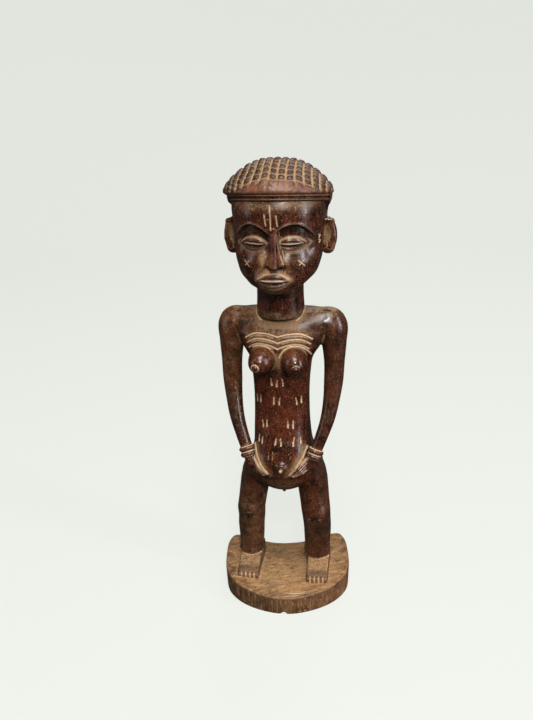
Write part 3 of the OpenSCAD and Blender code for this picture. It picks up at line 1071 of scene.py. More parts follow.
def side_flutes(skin, turn, rng):
    """Upright hollows in the plinth's side, as a relief between -1 and 0."""
    z = skin.points[:, 2]
    flutes = np.zeros(len(z))
    for _ in range(FLUTES):
        at, width = rng.uniform(-180, 180), rng.uniform(0.5, 1.4)
        low, high = sorted(rng.uniform(0, PLINTH_TOP, 2))
        gap = np.abs((turn - at + 180) % 360 - 180) / width
        near = (gap < 1) & (z > low - 1) & (z < high + 2)
        flutes[near] = np.minimum(flutes[near], -rng.uniform(0.3, 1.0) * (1 - gap[near] ** 2))
    return flutes


def carve_plinth(skin):
    rng = np.random.default_rng(11)
    x, y, z = skin.points.T
    u, v = plinth_frame(x, y)
    upward = skin.normals[:, 2]
    strokes = adze_strokes(u, v, rng) * ramp(0.6, 0.9, upward)
    flutes = side_flutes(skin, np.degrees(np.arctan2(v - PLINTH_CY, u)), rng)
    flutes = flutes * ramp(0.5, 0.9, 1 - np.abs(upward))
    skin.push(np.where(upward < -0.5, 0, STROKE_DEPTH * strokes + FLUTE_DEPTH * flutes))
    finish_skin(skin, 4, 30, 0.10, 1.2)
    skin.mask("worn", 0.7 * ramp(0.5, 0.85, skin.normals[:, 2]))
    dust_and_shade_plinth(skin, x, y, z, u, v)


def dust_and_shade_plinth(skin, x, y, z, u, v):
    """Dust round the feet and on the top, a knot, a dark edge, painted shade on the side that faces the
    figure's right, and two cracks in the rim.
    """
    rim = PLINTH_R - np.hypot(u, v - PLINTH_CY)
    top = ramp(0.5, 0.9, skin.normals[:, 2])
    for side in BOTH:
        foot_gap = np.hypot(np.maximum(np.abs(x - side * foot_middle(side)) - 12, 0),
                            np.maximum(np.abs(y - (FOOT_LOW[1] + FOOT_HIGH[1]) / 2) - 27, 0))
        skin.mask("dust", fade(0.5, 5.5, foot_gap))
    skin.mask("dust", 0.62 * ramp(2, 16, rim) * top)
    knot = np.hypot((x + 41) / 3.4, (z - 15.5) / 3.8)
    skin.mask("dark", 0.9 * fade(0.6, 1.2, knot) * (y < 0))
    skin.mask("dark", 0.55 * fade(1.0, 3.0, np.abs(z - dish_level(u) + 1.6)) * fade(0.4, 0.9, top))
    # Painted shade on the side of the plinth that faces the figure's right
    skin.mask("dark", 0.5 * ramp(-0.2, -0.75, skin.normals[:, 0]) * (z < PLINTH_TOP))
    for inset, first, last in ((4.5, 4, 34), (8.5, 2, 26)):
        crack = np.abs(rim - inset - 0.8 * np.sin(0.11 * x + inset))
        line = fade(0.3, 1.0, crack) * (y < 0)
        skin.mask("cut", 0.85 * line * ramp(first - 3, first + 2, x) * fade(last - 6, last + 3, x))


# ---------------------------------------------------------------- neck, face and ears
def model_neck():
    clay = Clay([-28, -30, COLLAR - 6], [28, 30, CHIN + 24], BODY_STEP)
    clay.add(loft([
        (COLLAR - 5, TRUNK_X, 0, NECK_R + 0.6, NECK_R + 0.6),
        (COLLAR + 2, TRUNK_X, 0, NECK_R + 0.2, NECK_R + 0.2),
        (COLLAR + 14, TRUNK_X, 0, NECK_R - 0.4, NECK_R - 0.2),
        (COLLAR + 30, TRUNK_X, 0, NECK_R - 0.2, NECK_R),
        (CHIN + 22, TRUNK_X, 0.5, NECK_R + 1, NECK_R + 1),
    ]))
    skin = Skin(clay)
    finish_skin(skin)
    z = skin.points[:, 2]
    skin.mask("dust", 0.4 * fade(0, 5, z - COLLAR))
    return skin


SKULL = [
    (CHIN, 0, -31, 9.5, 9), (CHIN + 2.5, 0, -27, 18.8, 16), (CHIN + 9.5, 0, -16, 30.8, 28.5),
    (CHIN + 22.5, 0, -8, 38.4, 37.2), (CHIN + 32, 0, -6, 40.3, 39.4), (CHIN + 39.5, 0, -5, 40.8, 40.6),
    (CHIN + 58.5, 0, -4, FACE_HALF - 2.0, 42), (CHIN + 75.5, 0, -3, FACE_HALF - 1.2, 42),
    (CHIN + 84, 0, -2, FACE_HALF - 3, 40),
]
BROW = CHIN + 61.4
# Place across and half width of the right eye and of the left one, and their level and half height
EYES = ((-19.4, 13.2), (16.8, 13.8))
EYE_Z = CHIN + 43.7
EYE_HALF = 6.2
MOUTH_X, MOUTH_Z = -0.6, CHIN + 12.4
# Half width and half height of the mouth
MOUTH_SIZE = (14.6, 6.5)
NOSE_TOP, NOSE_BASE = CHIN + 55, CHIN + 25.2
NOSE_TIP_Y = BOX["head"][0][1]


def nose_distance(x, y, z):
    """A straight nose: a flat ridge, two side planes that widen downwards, and a flat base."""
    t = np.clip((NOSE_TOP - z) / (NOSE_TOP - NOSE_BASE), 0, 1)
    front = NOSE_TIP_Y + 8.0 * (1 - t) ** 0.9 - 1.6
    depth = 3.0 + 7.5 * t
    half = 1.7 + 0.5 * t
    wide = half + (1.2 + 4.2 * t ** 1.6)
    sides = (np.abs(x - nose_middle(z)) - half - (wide - half) * (y - front) / depth) * 0.8
    solid = larger(sides, front - y, 0.9)
    solid = larger(solid, NOSE_BASE - z + 0.12 * (y + 45), 0.6)
    return np.maximum(solid, np.maximum(z - NOSE_TOP - 3, y + 30))


def nose_middle(z):
    """The nose leans a little towards the figure's left as it comes down."""
    return 0.4 + 0.9 * np.clip((NOSE_TOP - z) / (NOSE_TOP - NOSE_BASE), 0, 1)


def almond(u, v, half_width, half_height):
    """Distance to an almond outline, negative inside."""
    across = np.clip(np.abs(u) / half_width, 0, 1)
    edge = half_height * (1 - across ** 2.0) ** 0.85
    slope = 1.7 * half_height * across / half_width
    inside = (np.abs(v) - edge) / np.sqrt(1 + slope ** 2)
    beyond = np.hypot(np.maximum(np.abs(u) - half_width, 0), v)
    return np.where(np.abs(u) > half_width, beyond, inside)


LID_BULGE = 2.6


def lidded(u, v, half_width, half_height, opening):
    """An eye or a mouth: a raised rim round two lids, with a thin ridge along the opening.
    Returns its relief, its pale lines, its shaded part and its upper lid."""
    outer = almond(u, v, half_width, half_height)
    inner = almond(u, v + 0.7, half_width * 0.84, opening)
    inside = fade(-0.9, 0.5, outer)
    dome = LID_BULGE * (1 - np.clip(1 + outer / half_height, 0, 1) ** 2.5) + 0.6 * inside
    recess = fade(-1.1, 0.3, inner)
    ridge = hill(v - 0.1, 0.62) * fade(-0.6, 0.2, inner)
    rim = hill(outer + 0.5, 0.85)
    relief = dome + 0.55 * rim - 2.0 * recess + 1.7 * ridge
    pale = np.maximum(0.62 * hill(outer + 0.1, 0.75), 0.9 * ridge)
    lid = inside * (1 - recess) * ramp(0.3, 2.0, v)
    return relief, pale, recess * (1 - ridge), lid


def brow_line(x):
    """Level of the brow's edge over the eyes, which isn't quite the same on both sides."""
    right = x < 0
    from_peak = np.abs(x) - np.where(right, 21.0, 18.2)
    inner, outer = np.where(right, 0.029, 0.026), np.where(right, 0.056, 0.042)
    return BROW - np.where(from_peak < 0, inner, outer) * from_peak ** 2


def face_sockets(skin):
    """Relief of the hollow sockets under sharp brows, which fade into the cheeks."""
    x, _, z = skin.points.T
    over = z - brow_line(x)
    sockets = ramp(-0.2, 1.1, -over) * ramp(EYE_Z - 18, EYE_Z - 3, z) * fade(30, 38, np.abs(x))
    on_arch = ramp(3.0, 6.0, np.abs(x)) * fade(32, 36, np.abs(x))
    skin.mask("cut", 0.55 * hill(over - 0.3, 0.42) * on_arch * skin.front(0.0, 0.3))
    depth = 4.2 + 1.8 * hill(np.abs(x) - 6.5, 4.5)
    return 0.5 * hill(over - 0.7, 0.9) * on_arch - depth * sockets


def face_features(skin, relief, on_nose):
    """Adds the eyes and the mouth to a relief."""
    x, _, z = skin.points.T
    front = skin.front(0.05, 0.4)
    for middle, half_width in EYES:
        raised, pale, shade, lid = lidded(x - middle, z - EYE_Z, half_width, EYE_HALF, 3.3)
        near = front * (np.abs(x - middle) < 18) * (1 - on_nose)
        relief = relief + raised * near
        skin.mask("cut", 0.9 * pale * near)
        skin.mask("dark", 0.95 * shade * near)
        skin.mask("dust", 0.3 * lid * near)
    raised, pale, shade, _ = lidded(x - MOUTH_X, z - MOUTH_Z, *MOUTH_SIZE, 3.9)
    near = front * (np.abs(x) < 20)
    skin.mask("cut", pale * near)
    skin.mask("dark", 0.55 * shade * near)
    return relief + raised * near


# Forehead cuts from left to right as the photograph shows them, as places across and over the chin
FOREHEAD_CUTS = (
    ((-7.1, 70.4), (-6.6, 65.8), (-5.9, 61.0)),
    ((-2.3, 78.0), (-1.7, 67.0), (-1.7, 57.0)),
    ((3.4, 69.6), (3.7, 65.0), (4.3, 60.6)),
)


def face_marks(skin):
    """Cuts on the forehead, crosses on the cheeks and two hooks on the left temple."""
    carving = Carving(skin)

    def mark(path, *look):
        carving.cut([(x, CHIN + up) for x, up in path], *look)

    for stroke in FOREHEAD_CUTS:
        mark(stroke, 0.5, 0.7, 0.85)
    mark([(-6.3, 66.0), (-2.2, 66.4)], 0.7, 0.15, 0.2)
    for x, up in ((-25.0, 26.1), (24.2, 27.0)):
        mark([(x - 2.4, up + 2.5), (x + 2.4, up - 2.7)], 0.42, 0.55, 0.9)
        mark([(x + 2.2, up + 2.6), (x - 2.0, up - 2.1)], 0.42, 0.55, 0.9)
    for up in (47.4, 42.8):
        mark([(38.0, up + 1.7), (39.0, up + 0.2), (38.2, up - 1.2)], 0.5, 0.4, 0.9)
    # A pale line down the left side of the nose, which is painted and not cut
    mark([(6.3, 34.0), (7.6, 30.0), (8.8, 26.4)], 0.38, 0.0, 0.6)
    carving.carve()


def model_head():
    clay = Clay([-FACE_HALF - 4, NOSE_TIP_Y - 5, CHIN - 4], [FACE_HALF + 4, 44, CHIN + 86], HEAD_STEP)
    clay.add(loft(SKULL, power=2.15))
    clay.add(ball((MOUTH_X, -38.5, MOUTH_Z - 0.5), (15, 9.4, 9.4)), 7)
    clay.add(ball((0, -36, CHIN + 4.5), (11, 8, 5)), 6)
    nose = form(nose_distance, [-12, NOSE_TIP_Y - 1, NOSE_BASE - 2], [13, -28, NOSE_TOP + 3])
    clay.add(nose, 0.7)
    skin = Skin(clay)
    skin.settle(1)
    on_nose = fade(0.4, 2.2, nose_distance(*skin.points.T))
    relief = face_features(skin, face_sockets(skin), on_nose)
    skin.push(relief * (1 - on_nose))
    skin.find_normals()
    face_marks(skin)
    finish_skin(skin, 5, 40, 0.07, 0.8)
    dust_and_shade_face(skin, on_nose)
    return skin


def dust_and_shade_face(skin, on_nose):
    """Dust round the eyes, the nose and the mouth, and painted shade under the brows and the nose."""
    x, y, z = skin.points.T
    front = skin.front(0.1, 0.5)
    skin.masks["dust"] *= 0.6
    for middle, half_width in EYES:
        around = almond(x - middle, z - EYE_Z, half_width, EYE_HALF)
        ring = hill(np.maximum(around - 0.4, 0), 2.6) * ramp(-0.6, 0.2, around)
        ring = ring * (1 - on_nose) * (np.abs(x - middle) < 20)
        skin.mask("dust", 0.85 * ring * front * ramp(7, -1, z - EYE_Z))
    outer_cheek = hill(x - 27, 8) * hill(z - CHIN - 33, 7)
    skin.mask("dust", 0.35 * outer_cheek * front)
    cheek = hill(np.abs(x - 0.8) - 11.5, 3.6) * hill(z - CHIN - 29, 9)
    skin.mask("dust", np.where(x < 0, 0.85, 0.5) * cheek * front * (1 - on_nose))
    gap = almond(x - MOUTH_X, z - MOUTH_Z, *MOUTH_SIZE)
    skin.mask("dust", 0.85 * hill(gap - 1.4, 1.8) * front)
    lip = hill(x, 13) * hill(z - NOSE_BASE + 4.4, 2.2)
    skin.mask("dust", 0.8 * lip * front)
    skin.mask("dust", 0.5 * ramp(CHIN + 68, CHIN + 79, z) * front)
    jaw = hill(np.abs(x) - 40, 5) * ramp(-8, 6, y)
    skin.mask("dust", 0.45 * jaw)
    shade_face(skin, on_nose, front)


def shade_face(skin, on_nose, front):
    """Shade under the brows, beside the nose and under it, worn wood and dust on the nose's sides."""
    x, _, z = skin.points.T
    over = z - brow_line(x)
    on_arch = ramp(2.0, 5.0, np.abs(x)) * fade(33, 37, np.abs(x)) * front
    skin.mask("cut", 0.42 * hill(over - 0.3, 0.55) * on_arch)
    under = ramp(0.2, 1.6, -over) * fade(4.5, 8.5, -over) * on_arch
    bridge = hill(x + 6.2, 2.8) * ramp(CHIN + 32, CHIN + 42, z) * fade(CHIN + 53, CHIN + 57, z)
    below = fade(7.5, 10.5, np.abs(x - 1.6)) * hill(z - NOSE_BASE + 1.3, 1.5) * front
    shade = np.max([0.6 * under, 0.8 * bridge * front, 0.9 * below], axis=0)
    skin.masks["dust"] *= 1 - np.minimum(1.3 * shade, 1)
    skin.mask("dark", shade)
    orange = on_nose * ramp(0.8, -1.6, x) * fade(NOSE_BASE + 8, NOSE_BASE + 15, z) * (z > NOSE_BASE)
    skin.mask("worn", 0.9 * orange)
    left_side = ramp(2.2, 3.4, x - 0.1 * (NOSE_TOP - z)) * ramp(NOSE_BASE, NOSE_BASE + 2, z)
    skin.mask("dust", 0.4 * on_nose * left_side)
    skin.masks["dust"] *= 1 - skin.masks["dark"]


EAR = (45.0, 1.5, CHIN + 43.5)


def model_ear(side):
    """A flap that stands out sideways, hollowed in front, with a curled top and a pierced lobe."""
    x, y, z = EAR
    reach = np.array([11.0, 13.0, 21.0])
    centre = np.array([side * (x - 0.5), y + 0.5, z])
    clay = Clay(centre - reach, centre + reach, FINE_STEP)
    steps = [
        (clay.add, ball((x - 1.5, y, z), (9.2, 6.6, 17.2)), 0.5),
        (clay.add, ball((x - 3.5, y + 3, z), (6, 7, 15)), 3),
        (clay.add, rod((x - 4, y - 3.5, z + 14.5), (x + 3.0, y - 3.2, z + 14.2), 2.4, 1.9), 2),
        (clay.add, rod((x + 3.6, y - 2.6, z + 13.0), (x + 5.4, y - 2.4, z - 3), 1.8, 1.7), 1.6),
        (clay.add, ball((x + 0.8, y - 1.5, z - 11.5), (4.2, 3.6, 4.8)), 2),
        (clay.cut, ball((x - 0.6, y - 7.5, z + 2.5), (4.8, 6.0, 10.6)), 1.4),
        (clay.cut, ball((x - 3.2, y - 7.5, z - 5.5), (4.4, 5.2, 6.4)), 1.4),
        (clay.add, ball((x - 3.4, y - 4.2, z - 8.0), (1.8, 2.4, 2.6)), 1),
        (clay.cut, rod((x + 0.6, y - 12, z - 11.0), (x + 0.6, y + 12, z - 11.0), 1.15, 1.15), 0.3),
    ]
    for work, shape, blend in steps:
        work(mirrored(side, shape), blend)
    skin = Skin(clay)
    finish_skin(skin, 5, 30, 0.06, 0.6)
    skin.mask("dust", 0.8 * skin.front(0.3, 0.8) * ramp(y - 6.2, y - 2.5, skin.points[:, 1]))
    return skin


# ---------------------------------------------------------------- headband and hair
def crown_frame(y, z):
    """Depth and height in the axes of the tilted headband."""
    cos, sin = math.cos(CROWN_TILT), math.sin(CROWN_TILT)
    return y * cos - (z - BAND_Z) * sin, y * sin + (z - BAND_Z) * cos


def tilted(shape, reach):
    """A form drawn in the headband's axes."""
    distance = shape[0]

    def turned_distance(x, y, z):
        v, w = crown_frame(y, z)
        return distance(x, v, w)

    return form(turned_distance, [-reach, -reach, BAND_Z - reach], [reach, reach, BAND_Z + reach])


BAND_STEP = FINE_STEP + 0.06
# How far forward the band's ends reach, the height of its ridges and how it widens upwards
BAND_FRONT = 11.0
BAND_RIDGE = 2.4
BAND_FLARE = 0.28


def band_radius(w):
    """Two thin round ridges with a groove between them and at their edges, narrower below."""
    wave = 0.5 + 0.5 * np.cos(2 * math.pi * (w / BAND_HEIGHT * 2 - 0.5))
    return BAND_HALF + 1.5 - BAND_RIDGE + BAND_RIDGE * wave ** 0.6 + BAND_FLARE * w


def band_distance(x, v, w):
    rho = np.sqrt(x * x + (v / 0.99) ** 2)
    ring = np.maximum(rho - band_radius(w), BAND_HALF - 5 - rho)
    return np.maximum(np.maximum(ring, np.abs(w) - BAND_HEIGHT / 2), v - BAND_FRONT)


def model_headband():
    reach = BAND_HALF + 4
    clay = Clay([-reach, -reach - 2, BAND_Z - 7], [reach, BAND_FRONT + 4, BAND_Z + 12], BAND_STEP)
    clay.add(tilted(form(band_distance, [-reach] * 3, [reach] * 3), reach))
    skin = Skin(clay)
    _, w = crown_frame(skin.points[:, 1], skin.points[:, 2])
    finish_skin(skin, 3, 14, 0.05, 0.5)
    outward = np.hypot(skin.normals[:, 0], skin.normals[:, 1])
    middle = fade(0.25, 0.9, np.abs(w))
    # Painted shade in the groove between the two ridges and in the grooves at the band's top and bottom edges
    skin.mask("dark", 0.95 * middle * (outward > 0.3))
    skin.mask("dark", 0.9 * ramp(2.5, 3.1, np.abs(w)))
    skin.masks["dust"] *= 0.4
    skin.mask("dust", 0.75 * fade(0.2, 1.0, np.abs(w - BAND_HEIGHT / 4 - 0.3)))
    skin.mask("dust", 0.3 * fade(0.2, 1.0, np.abs(w + BAND_HEIGHT / 4)))
    return skin


HAIR_FOOT = BAND_HEIGHT / 2
HAIR_X = -0.6
HAIR_HEIGHT = (CROWN - BAND_Z) - HAIR_FOOT - 0.2
# Height over the headband and half width, as shares of the hair's height and half width
HAIR_SHARES = ((-0.05, 0.93), (-0.03, 0.965), (0.01, 0.995), (0.06, 1.0), (0.13, 0.99), (0.25, 0.945),
               (0.4, 0.865), (0.6, 0.72), (0.76, 0.57), (0.87, 0.41), (0.93, 0.26), (0.955, 0.06))
NAPE = [
    (BAND_Z + 9, 0, 2, 47, 45), (BAND_Z - 1, 0, 2, 47.6, 45), (BAND_Z - 5, 0, 3, 46.2, 44.5),
    (BAND_Z - 10, 0, 3, 44.6, 44), (BAND_Z - 15, 0, 3, 43.9, 43.2), (BAND_Z - 21, 0, 3, 43.6, 42.5),
    (BAND_Z - 34, 0, 3, 43.5, 40.5), (BAND_Z - 46, 0, 3, 39, 36), (BAND_Z - 54, 0, 2, 32, 30),
    (BAND_Z - 58, 0, 0, 22, 24),
]
COLUMN_PITCH = 8.0
ROW_PITCH = math.radians(8.0)
HAIR_AXIS_Z = 15.0


def hair_pattern(points):
    """Distances to the nearest groove along and across the head, as shares of half a knob."""
    x, y, z = points.T
    height = np.clip(z - BAND_Z, -20, HAIR_HEIGHT)
    reach = np.interp(height, [0, HAIR_HEIGHT * 0.55, HAIR_HEIGHT], [1.0, 1.05, 1.2])
    along = HAIR_HALF * np.arcsin(np.clip(x / (HAIR_HALF + 2.5), -1, 1)) * reach
    along = along + 0.5 * np.sin(0.11 * y + 1.0) + 0.35 * np.sin(0.3 * z + 0.1 * x)
    turn = np.arctan2(y, z - BAND_Z + HAIR_AXIS_Z) + 0.025 * np.sin(0.21 * x) + 0.012 * np.sin(0.5 * x + 1)
    u = along / COLUMN_PITCH + 0.5
    v = turn / ROW_PITCH
    return np.abs(u - np.round(u)) * 2, np.abs(v - np.round(v)) * 2


def nape_front(z):
    """How far forward the hair at the sides reaches, over the headband's ends and behind the ears."""
    return BAND_FRONT - 14.0 * ramp(BAND_Z - 12, BAND_Z - 3, z)


def model_coiffure():
    reach = HAIR_HALF + 4
    clay = Clay([-reach, -reach, BAND_Z - 60], [reach, reach, CROWN + 4], HAIR_STEP)
    rows = [(HAIR_FOOT + share * HAIR_HEIGHT, HAIR_X, 0, width * HAIR_HALF, width * HAIR_HALF * 0.985)
            for share, width in HAIR_SHARES]
    clay.add(tilted(loft(rows), reach))
    nape = loft(NAPE)
    behind = form(lambda x, y, z: np.maximum(nape[0](x, y, z), nape_front(z) - y), nape[1], nape[2])
    clay.add(behind, 1.5)
    skin = Skin(clay)
    carve_hair(skin)
    return skin


def carve_hair(skin):
    """A grid of round knobs between pale grooves, worn nearly flat over the forehead."""
    x, y, z = skin.points.T
    _, w = crown_frame(y, z)
    u, v = hair_pattern(skin.points)
    outer = ramp(-0.75, -0.45, skin.normals[:, 2]) * ramp(-0.9, -0.6, skin.normals[:, 1] * (y > 0))
    limit = HAIR_FOOT + 12.5 - 8.5 * ((x - 3) / 36.0) ** 2
    worn = fade(limit - 3.5, limit + 2.0, w) * (y < -12)
    groove_u, groove_v = fade(0.16, 0.56, u), fade(0.12, 0.55, v)
    groove = np.maximum(groove_u, groove_v * 0.9)
    low = np.maximum(ramp(HAIR_FOOT - 1, HAIR_FOOT + 3.5, w), ramp(BAND_FRONT + 1, BAND_FRONT + 9, y))
    strength = outer * (1 - 0.86 * worn) * (0.35 + 0.65 * low)
    knob = np.sqrt(np.clip(np.cos(math.pi / 2 * (1 - u)) * np.cos(math.pi / 2 * (1 - v)), 0, 1))
    skin.push(strength * (knob - 1.7 * groove))
    finish_skin(skin, 4, 25, 0.10, 0.9)
    pale = np.maximum(fade(0.14, 0.42, u), 0.8 * fade(0.12, 0.4, v))
    skin.masks["dust"] *= 0.35
    skin.mask("cut", 0.8 * pale * outer * (1 - 0.85 * worn) * low)
    skin.mask("dark", 0.75 * (1 - pale) * outer * (1 - worn) * low)
    skin.mask("worn", worn)


# ---------------------------------------------------------------- materials
class Paint:
    """Builds the nodes of one material."""

    def __init__(self, name):
        self.material = bpy.data.materials.new(name)
        self.material.use_nodes = True
        self.nodes, self.links = self.material.node_tree.nodes, self.material.node_tree.links
        self.shader = self.nodes["Principled BSDF"]
        self.place = self.nodes.new("ShaderNodeTexCoord").outputs["Object"]

    def put(self, kind, sockets, **settings):
        node = self.nodes.new(kind)
        for key, value in settings.items():
            setattr(node, key, value)
        for key, value in sockets.items():
            if isinstance(value, bpy.types.NodeSocket):
                self.links.new(value, node.inputs[key])
            else:
                node.inputs[key].default_value = value
        return node

    def mask(self, name):
        return self.put("ShaderNodeAttribute", {}, attribute_name=name).outputs["Fac"]

    def noise(self, scale, detail=4.0, rough=0.55, stretch=1.0, lift=0.0):
        """Noise with so many waves over a metre, longer upwards where stretch is under 1."""
        sockets = {"Vector": self.place, "Scale": (1, 1, stretch), "Location": (lift, lift, lift)}
        place = self.put("ShaderNodeMapping", sockets).outputs[0]
        sockets = {"Vector": place, "Scale": scale / UNIT / 1000, "Detail": detail, "Roughness": rough}
        return self.put("ShaderNodeTexNoise", sockets).outputs["Fac"]

    def spread(self, value, low, high, out_low=0.0, out_high=1.0):
        """Stretches a value between two limits, smoothly."""
        sockets = {"Value": value, "From Min": low, "From Max": high, "To Min": out_low, "To Max": out_high}
        return self.put("ShaderNodeMapRange", sockets, interpolation_type="SMOOTHSTEP").outputs[0]

    def math(self, operation, a, b):
        return self.put("ShaderNodeMath", {0: a, 1: b}, operation=operation, use_clamp=True).outputs[0]

    def plus(self, a, b):
        return self.math("ADD", a, b)

    def times(self, a, b):
        return self.math("MULTIPLY", a, b)

    def most(self, a, b):
        return self.math("MAXIMUM", a, b)

    def mix(self, amount, first, second):
        sockets = {"Factor": amount, 6: first, 7: second}
        return self.put("ShaderNodeMix", sockets, data_type="RGBA").outputs[2]

    def blend(self, amount, first, second):
        return self.put("ShaderNodeMix", {0: amount, 2: first, 3: second}, data_type="FLOAT").outputs[0]

    def join(self, output, name):
        self.links.new(output, self.shader.inputs[name])


def colour(shown, share=1.0):
    """A linear colour from display values of 0 to 255, or a share of its light."""
    linear = [c / 255 / 12.92 if c < 10 else ((c / 255 + 0.055) / 1.055) ** 2.4 for c in shown]
    return (*[share * c for c in linear], 1)


# Colour that the dark mask mixes in, which is mostly painted shade
SHADE = (22, 9, 6)


def wood_colour(paint, fields, deep, light, worn):
    """Red-brown polish over grain, paler where it is worn, paler on edges with wear and a painted highlight,
    and darker where the dark mask says so, which is mostly painted shade.
    """
    patches, mottle, grain = fields
    tone = paint.plus(paint.spread(patches, 0.35, 0.65, 0.0, 0.30), paint.spread(mottle, 0.3, 0.7, 0.0, 0.35))
    tone = paint.spread(paint.plus(tone, paint.spread(grain, 0.3, 0.7, 0.0, 0.35)), 0.18, 0.85)
    base = paint.mix(tone, colour(deep), colour(light))
    base = paint.mix(paint.mask("worn"), base, paint.mix(tone, base, colour(worn)))
    # Edges mixed towards the light colour: wear and a painted highlight
    base = paint.mix(paint.times(paint.mask("edge"), 0.4), base, colour(light))
    # The dark mask mixes in the painted shade colour
    return paint.mix(paint.mask("dark"), base, colour(SHADE))


def dust_amount(paint, specks, mottle, fine, dusty, speckle):
    """How thick dust lies: in clumps where the mask has it, and as a film of specks everywhere."""
    clumps = paint.noise(130, 6, 0.72, lift=5.0)
    mask = paint.mask("dust")
    settled = paint.plus(paint.blend(0.4, specks, clumps), paint.times(mask, 0.26))
    settled = paint.times(paint.spread(settled, 0.595, 0.70), 0.85)
    settled = paint.most(settled, paint.times(mask, paint.spread(clumps, 0.32, 0.62, 0.15, 0.60)))
    film = paint.times(paint.spread(specks, 0.54, 0.66), paint.spread(clumps, 0.42, 0.64, 0.16, speckle))
    film = paint.most(film, paint.times(paint.spread(mottle, 0.3, 0.6, 0.35, 1.3), dusty))
    return paint.times(paint.most(settled, film), paint.spread(fine, 0.25, 0.6, 0.65, 1.0))


def wood(name, deep, light, worn, dusty=0.0, speckle=0.8, gloss=0.22, rough=0.14, dust=(166, 130, 88),
         incision=(206, 176, 140)):
    """Carved wood with dust in its hollows and pale dust in its cuts."""
    paint = Paint(name)
    patches = paint.noise(24, 4, 0.6)
    mottle = paint.noise(120, 5, 0.6, 0.75)
    grain = paint.noise(520, 4, 0.6, 0.35, 2.0)
    fine = paint.noise(1300, 3, 0.6, 0.6, 3.0)
    specks = paint.noise(760, 4, 0.65, lift=1.0)
    base = wood_colour(paint, (patches, mottle, grain), deep, light, worn)
    amount = dust_amount(paint, specks, mottle, fine, dusty, speckle)
    powder = paint.mix(paint.spread(specks, 0.35, 0.7), colour(dust, 0.62), colour(dust))
    base = paint.mix(paint.times(amount, 0.85), base, powder)
    line = paint.times(paint.mask("cut"), paint.spread(specks, 0.25, 0.55, 0.55, 1.0))
    paint.join(paint.mix(line, base, colour(incision)), "Base Color")
    shine = paint.spread(mottle, 0.3, 0.7, gloss - 0.03, gloss + 0.07)
    paint.join(paint.blend(paint.most(amount, line), shine, 0.8), "Roughness")
    relief = paint.plus(paint.times(mottle, 0.45), paint.times(grain, 0.35))
    relief = paint.plus(relief, paint.times(fine, 0.2))
    sockets = {"Height": relief, "Strength": rough, "Distance": 1.2 * UNIT}
    paint.join(paint.put("ShaderNodeBump", sockets).outputs["Normal"], "Normal")
    return paint.material


# Deep, light and worn colour of each wood, and what sets it apart from polished wood
WOODS = {
    "polished_wood": dict(deep=(21, 8, 4), light=(86, 38, 21), worn=(160, 84, 46)),
    "bracelet_wood": dict(deep=(38, 15, 8), light=(86, 44, 28), worn=(110, 70, 50), dusty=0.10),
    "hair_wood": dict(deep=(38, 17, 11), light=(104, 60, 38), worn=(106, 55, 33), dusty=0.08, speckle=0.6,
                      gloss=0.40, rough=0.3, incision=(168, 136, 100)),
    "dusty_wood": dict(deep=(44, 22, 12), light=(122, 78, 46), worn=(154, 114, 70), dusty=0.20,
                       gloss=0.55, rough=0.7, dust=(190, 150, 100)),
}
POLISHED = "polished_wood"
MATERIALS = {name: wood(name, **look) for name, look in WOODS.items()}


# ---------------------------------------------------------------- pieces
UP, DOWN, LEFT, RIGHT = (0, 0, 1), (0, 0, -1), (1, 0, 0), (-1, 0, 0)
# The members cut out of the one clay, with the planes that bound them: a point, and the side cut off
CORE_PIECES = {
    "torso": [((0, 0, WAIST), DOWN), ((YOKE, 0, 0), LEFT), ((-YOKE, 0, 0), RIGHT)],
    "pelvis": [((0, 0, WAIST), UP), ((0, 0, HIP_CUT), DOWN)],
    "left_leg": [((0, 0, HIP_CUT), UP), ((0, 0, 0), RIGHT)],
    "right_leg": [((0, 0, HIP_CUT), UP), ((0, 0, 0), LEFT)],
    "left_upper_arm": [((0, 0, ELBOW), DOWN), ((YOKE, 0, 0), RIGHT)],
    "right_upper_arm": [((0, 0, ELBOW), DOWN), ((-YOKE, 0, 0), LEFT)],
}


def part_of(skin, planes):
    """Which points lie on the kept side of all the planes, or a few units beyond them."""
    keep = np.ones(len(skin.points), dtype=bool)
    for point, normal in planes:
        keep &= (skin.points - np.array(point)) @ np.array(normal, float) < 3.0
    return keep


def put_piece(node, skin, slot=POLISHED, planes=()):
    """Puts a skin, or the part of it between planes, in the scene in place of a CAD node."""
    keep = part_of(skin, planes) if planes else None
    mesh = skin_mesh(node + "_carved", skin, keep)
    cut_mesh(mesh, planes)
    add_piece(node + "_carved", mesh, [node], slot)


def build_figure():
    core = model_core()
    carve_core(core)
    finish_skin(core, 6, 60, 0.10, 1.5)
    dust_and_shade_core(core)
    for node, planes in CORE_PIECES.items():
        put_piece(node, core, planes=planes)
    put_piece("neck", model_neck())
    crown_up = (0, math.sin(CROWN_TILT), math.cos(CROWN_TILT))
    put_piece("head", model_head(), planes=[((0, 0, BAND_Z + 6), crown_up)])
    for name, side in SIDES.items():
        put_piece(name + "_forearm", model_forearm(side), planes=[((0, 0, ELBOW), UP)])
        put_piece(name + "_bracelet", model_bracelet(side), "bracelet_wood")
        put_piece(name + "_hand", model_hand(side))
        put_piece(name + "_foot", model_foot(side), "dusty_wood")
        put_piece(name + "_ear", model_ear(side))
    put_piece("headband", model_headband(), "hair_wood")
    put_piece("coiffure", model_coiffure(), "hair_wood")
    put_piece("plinth", model_plinth(), "dusty_wood")


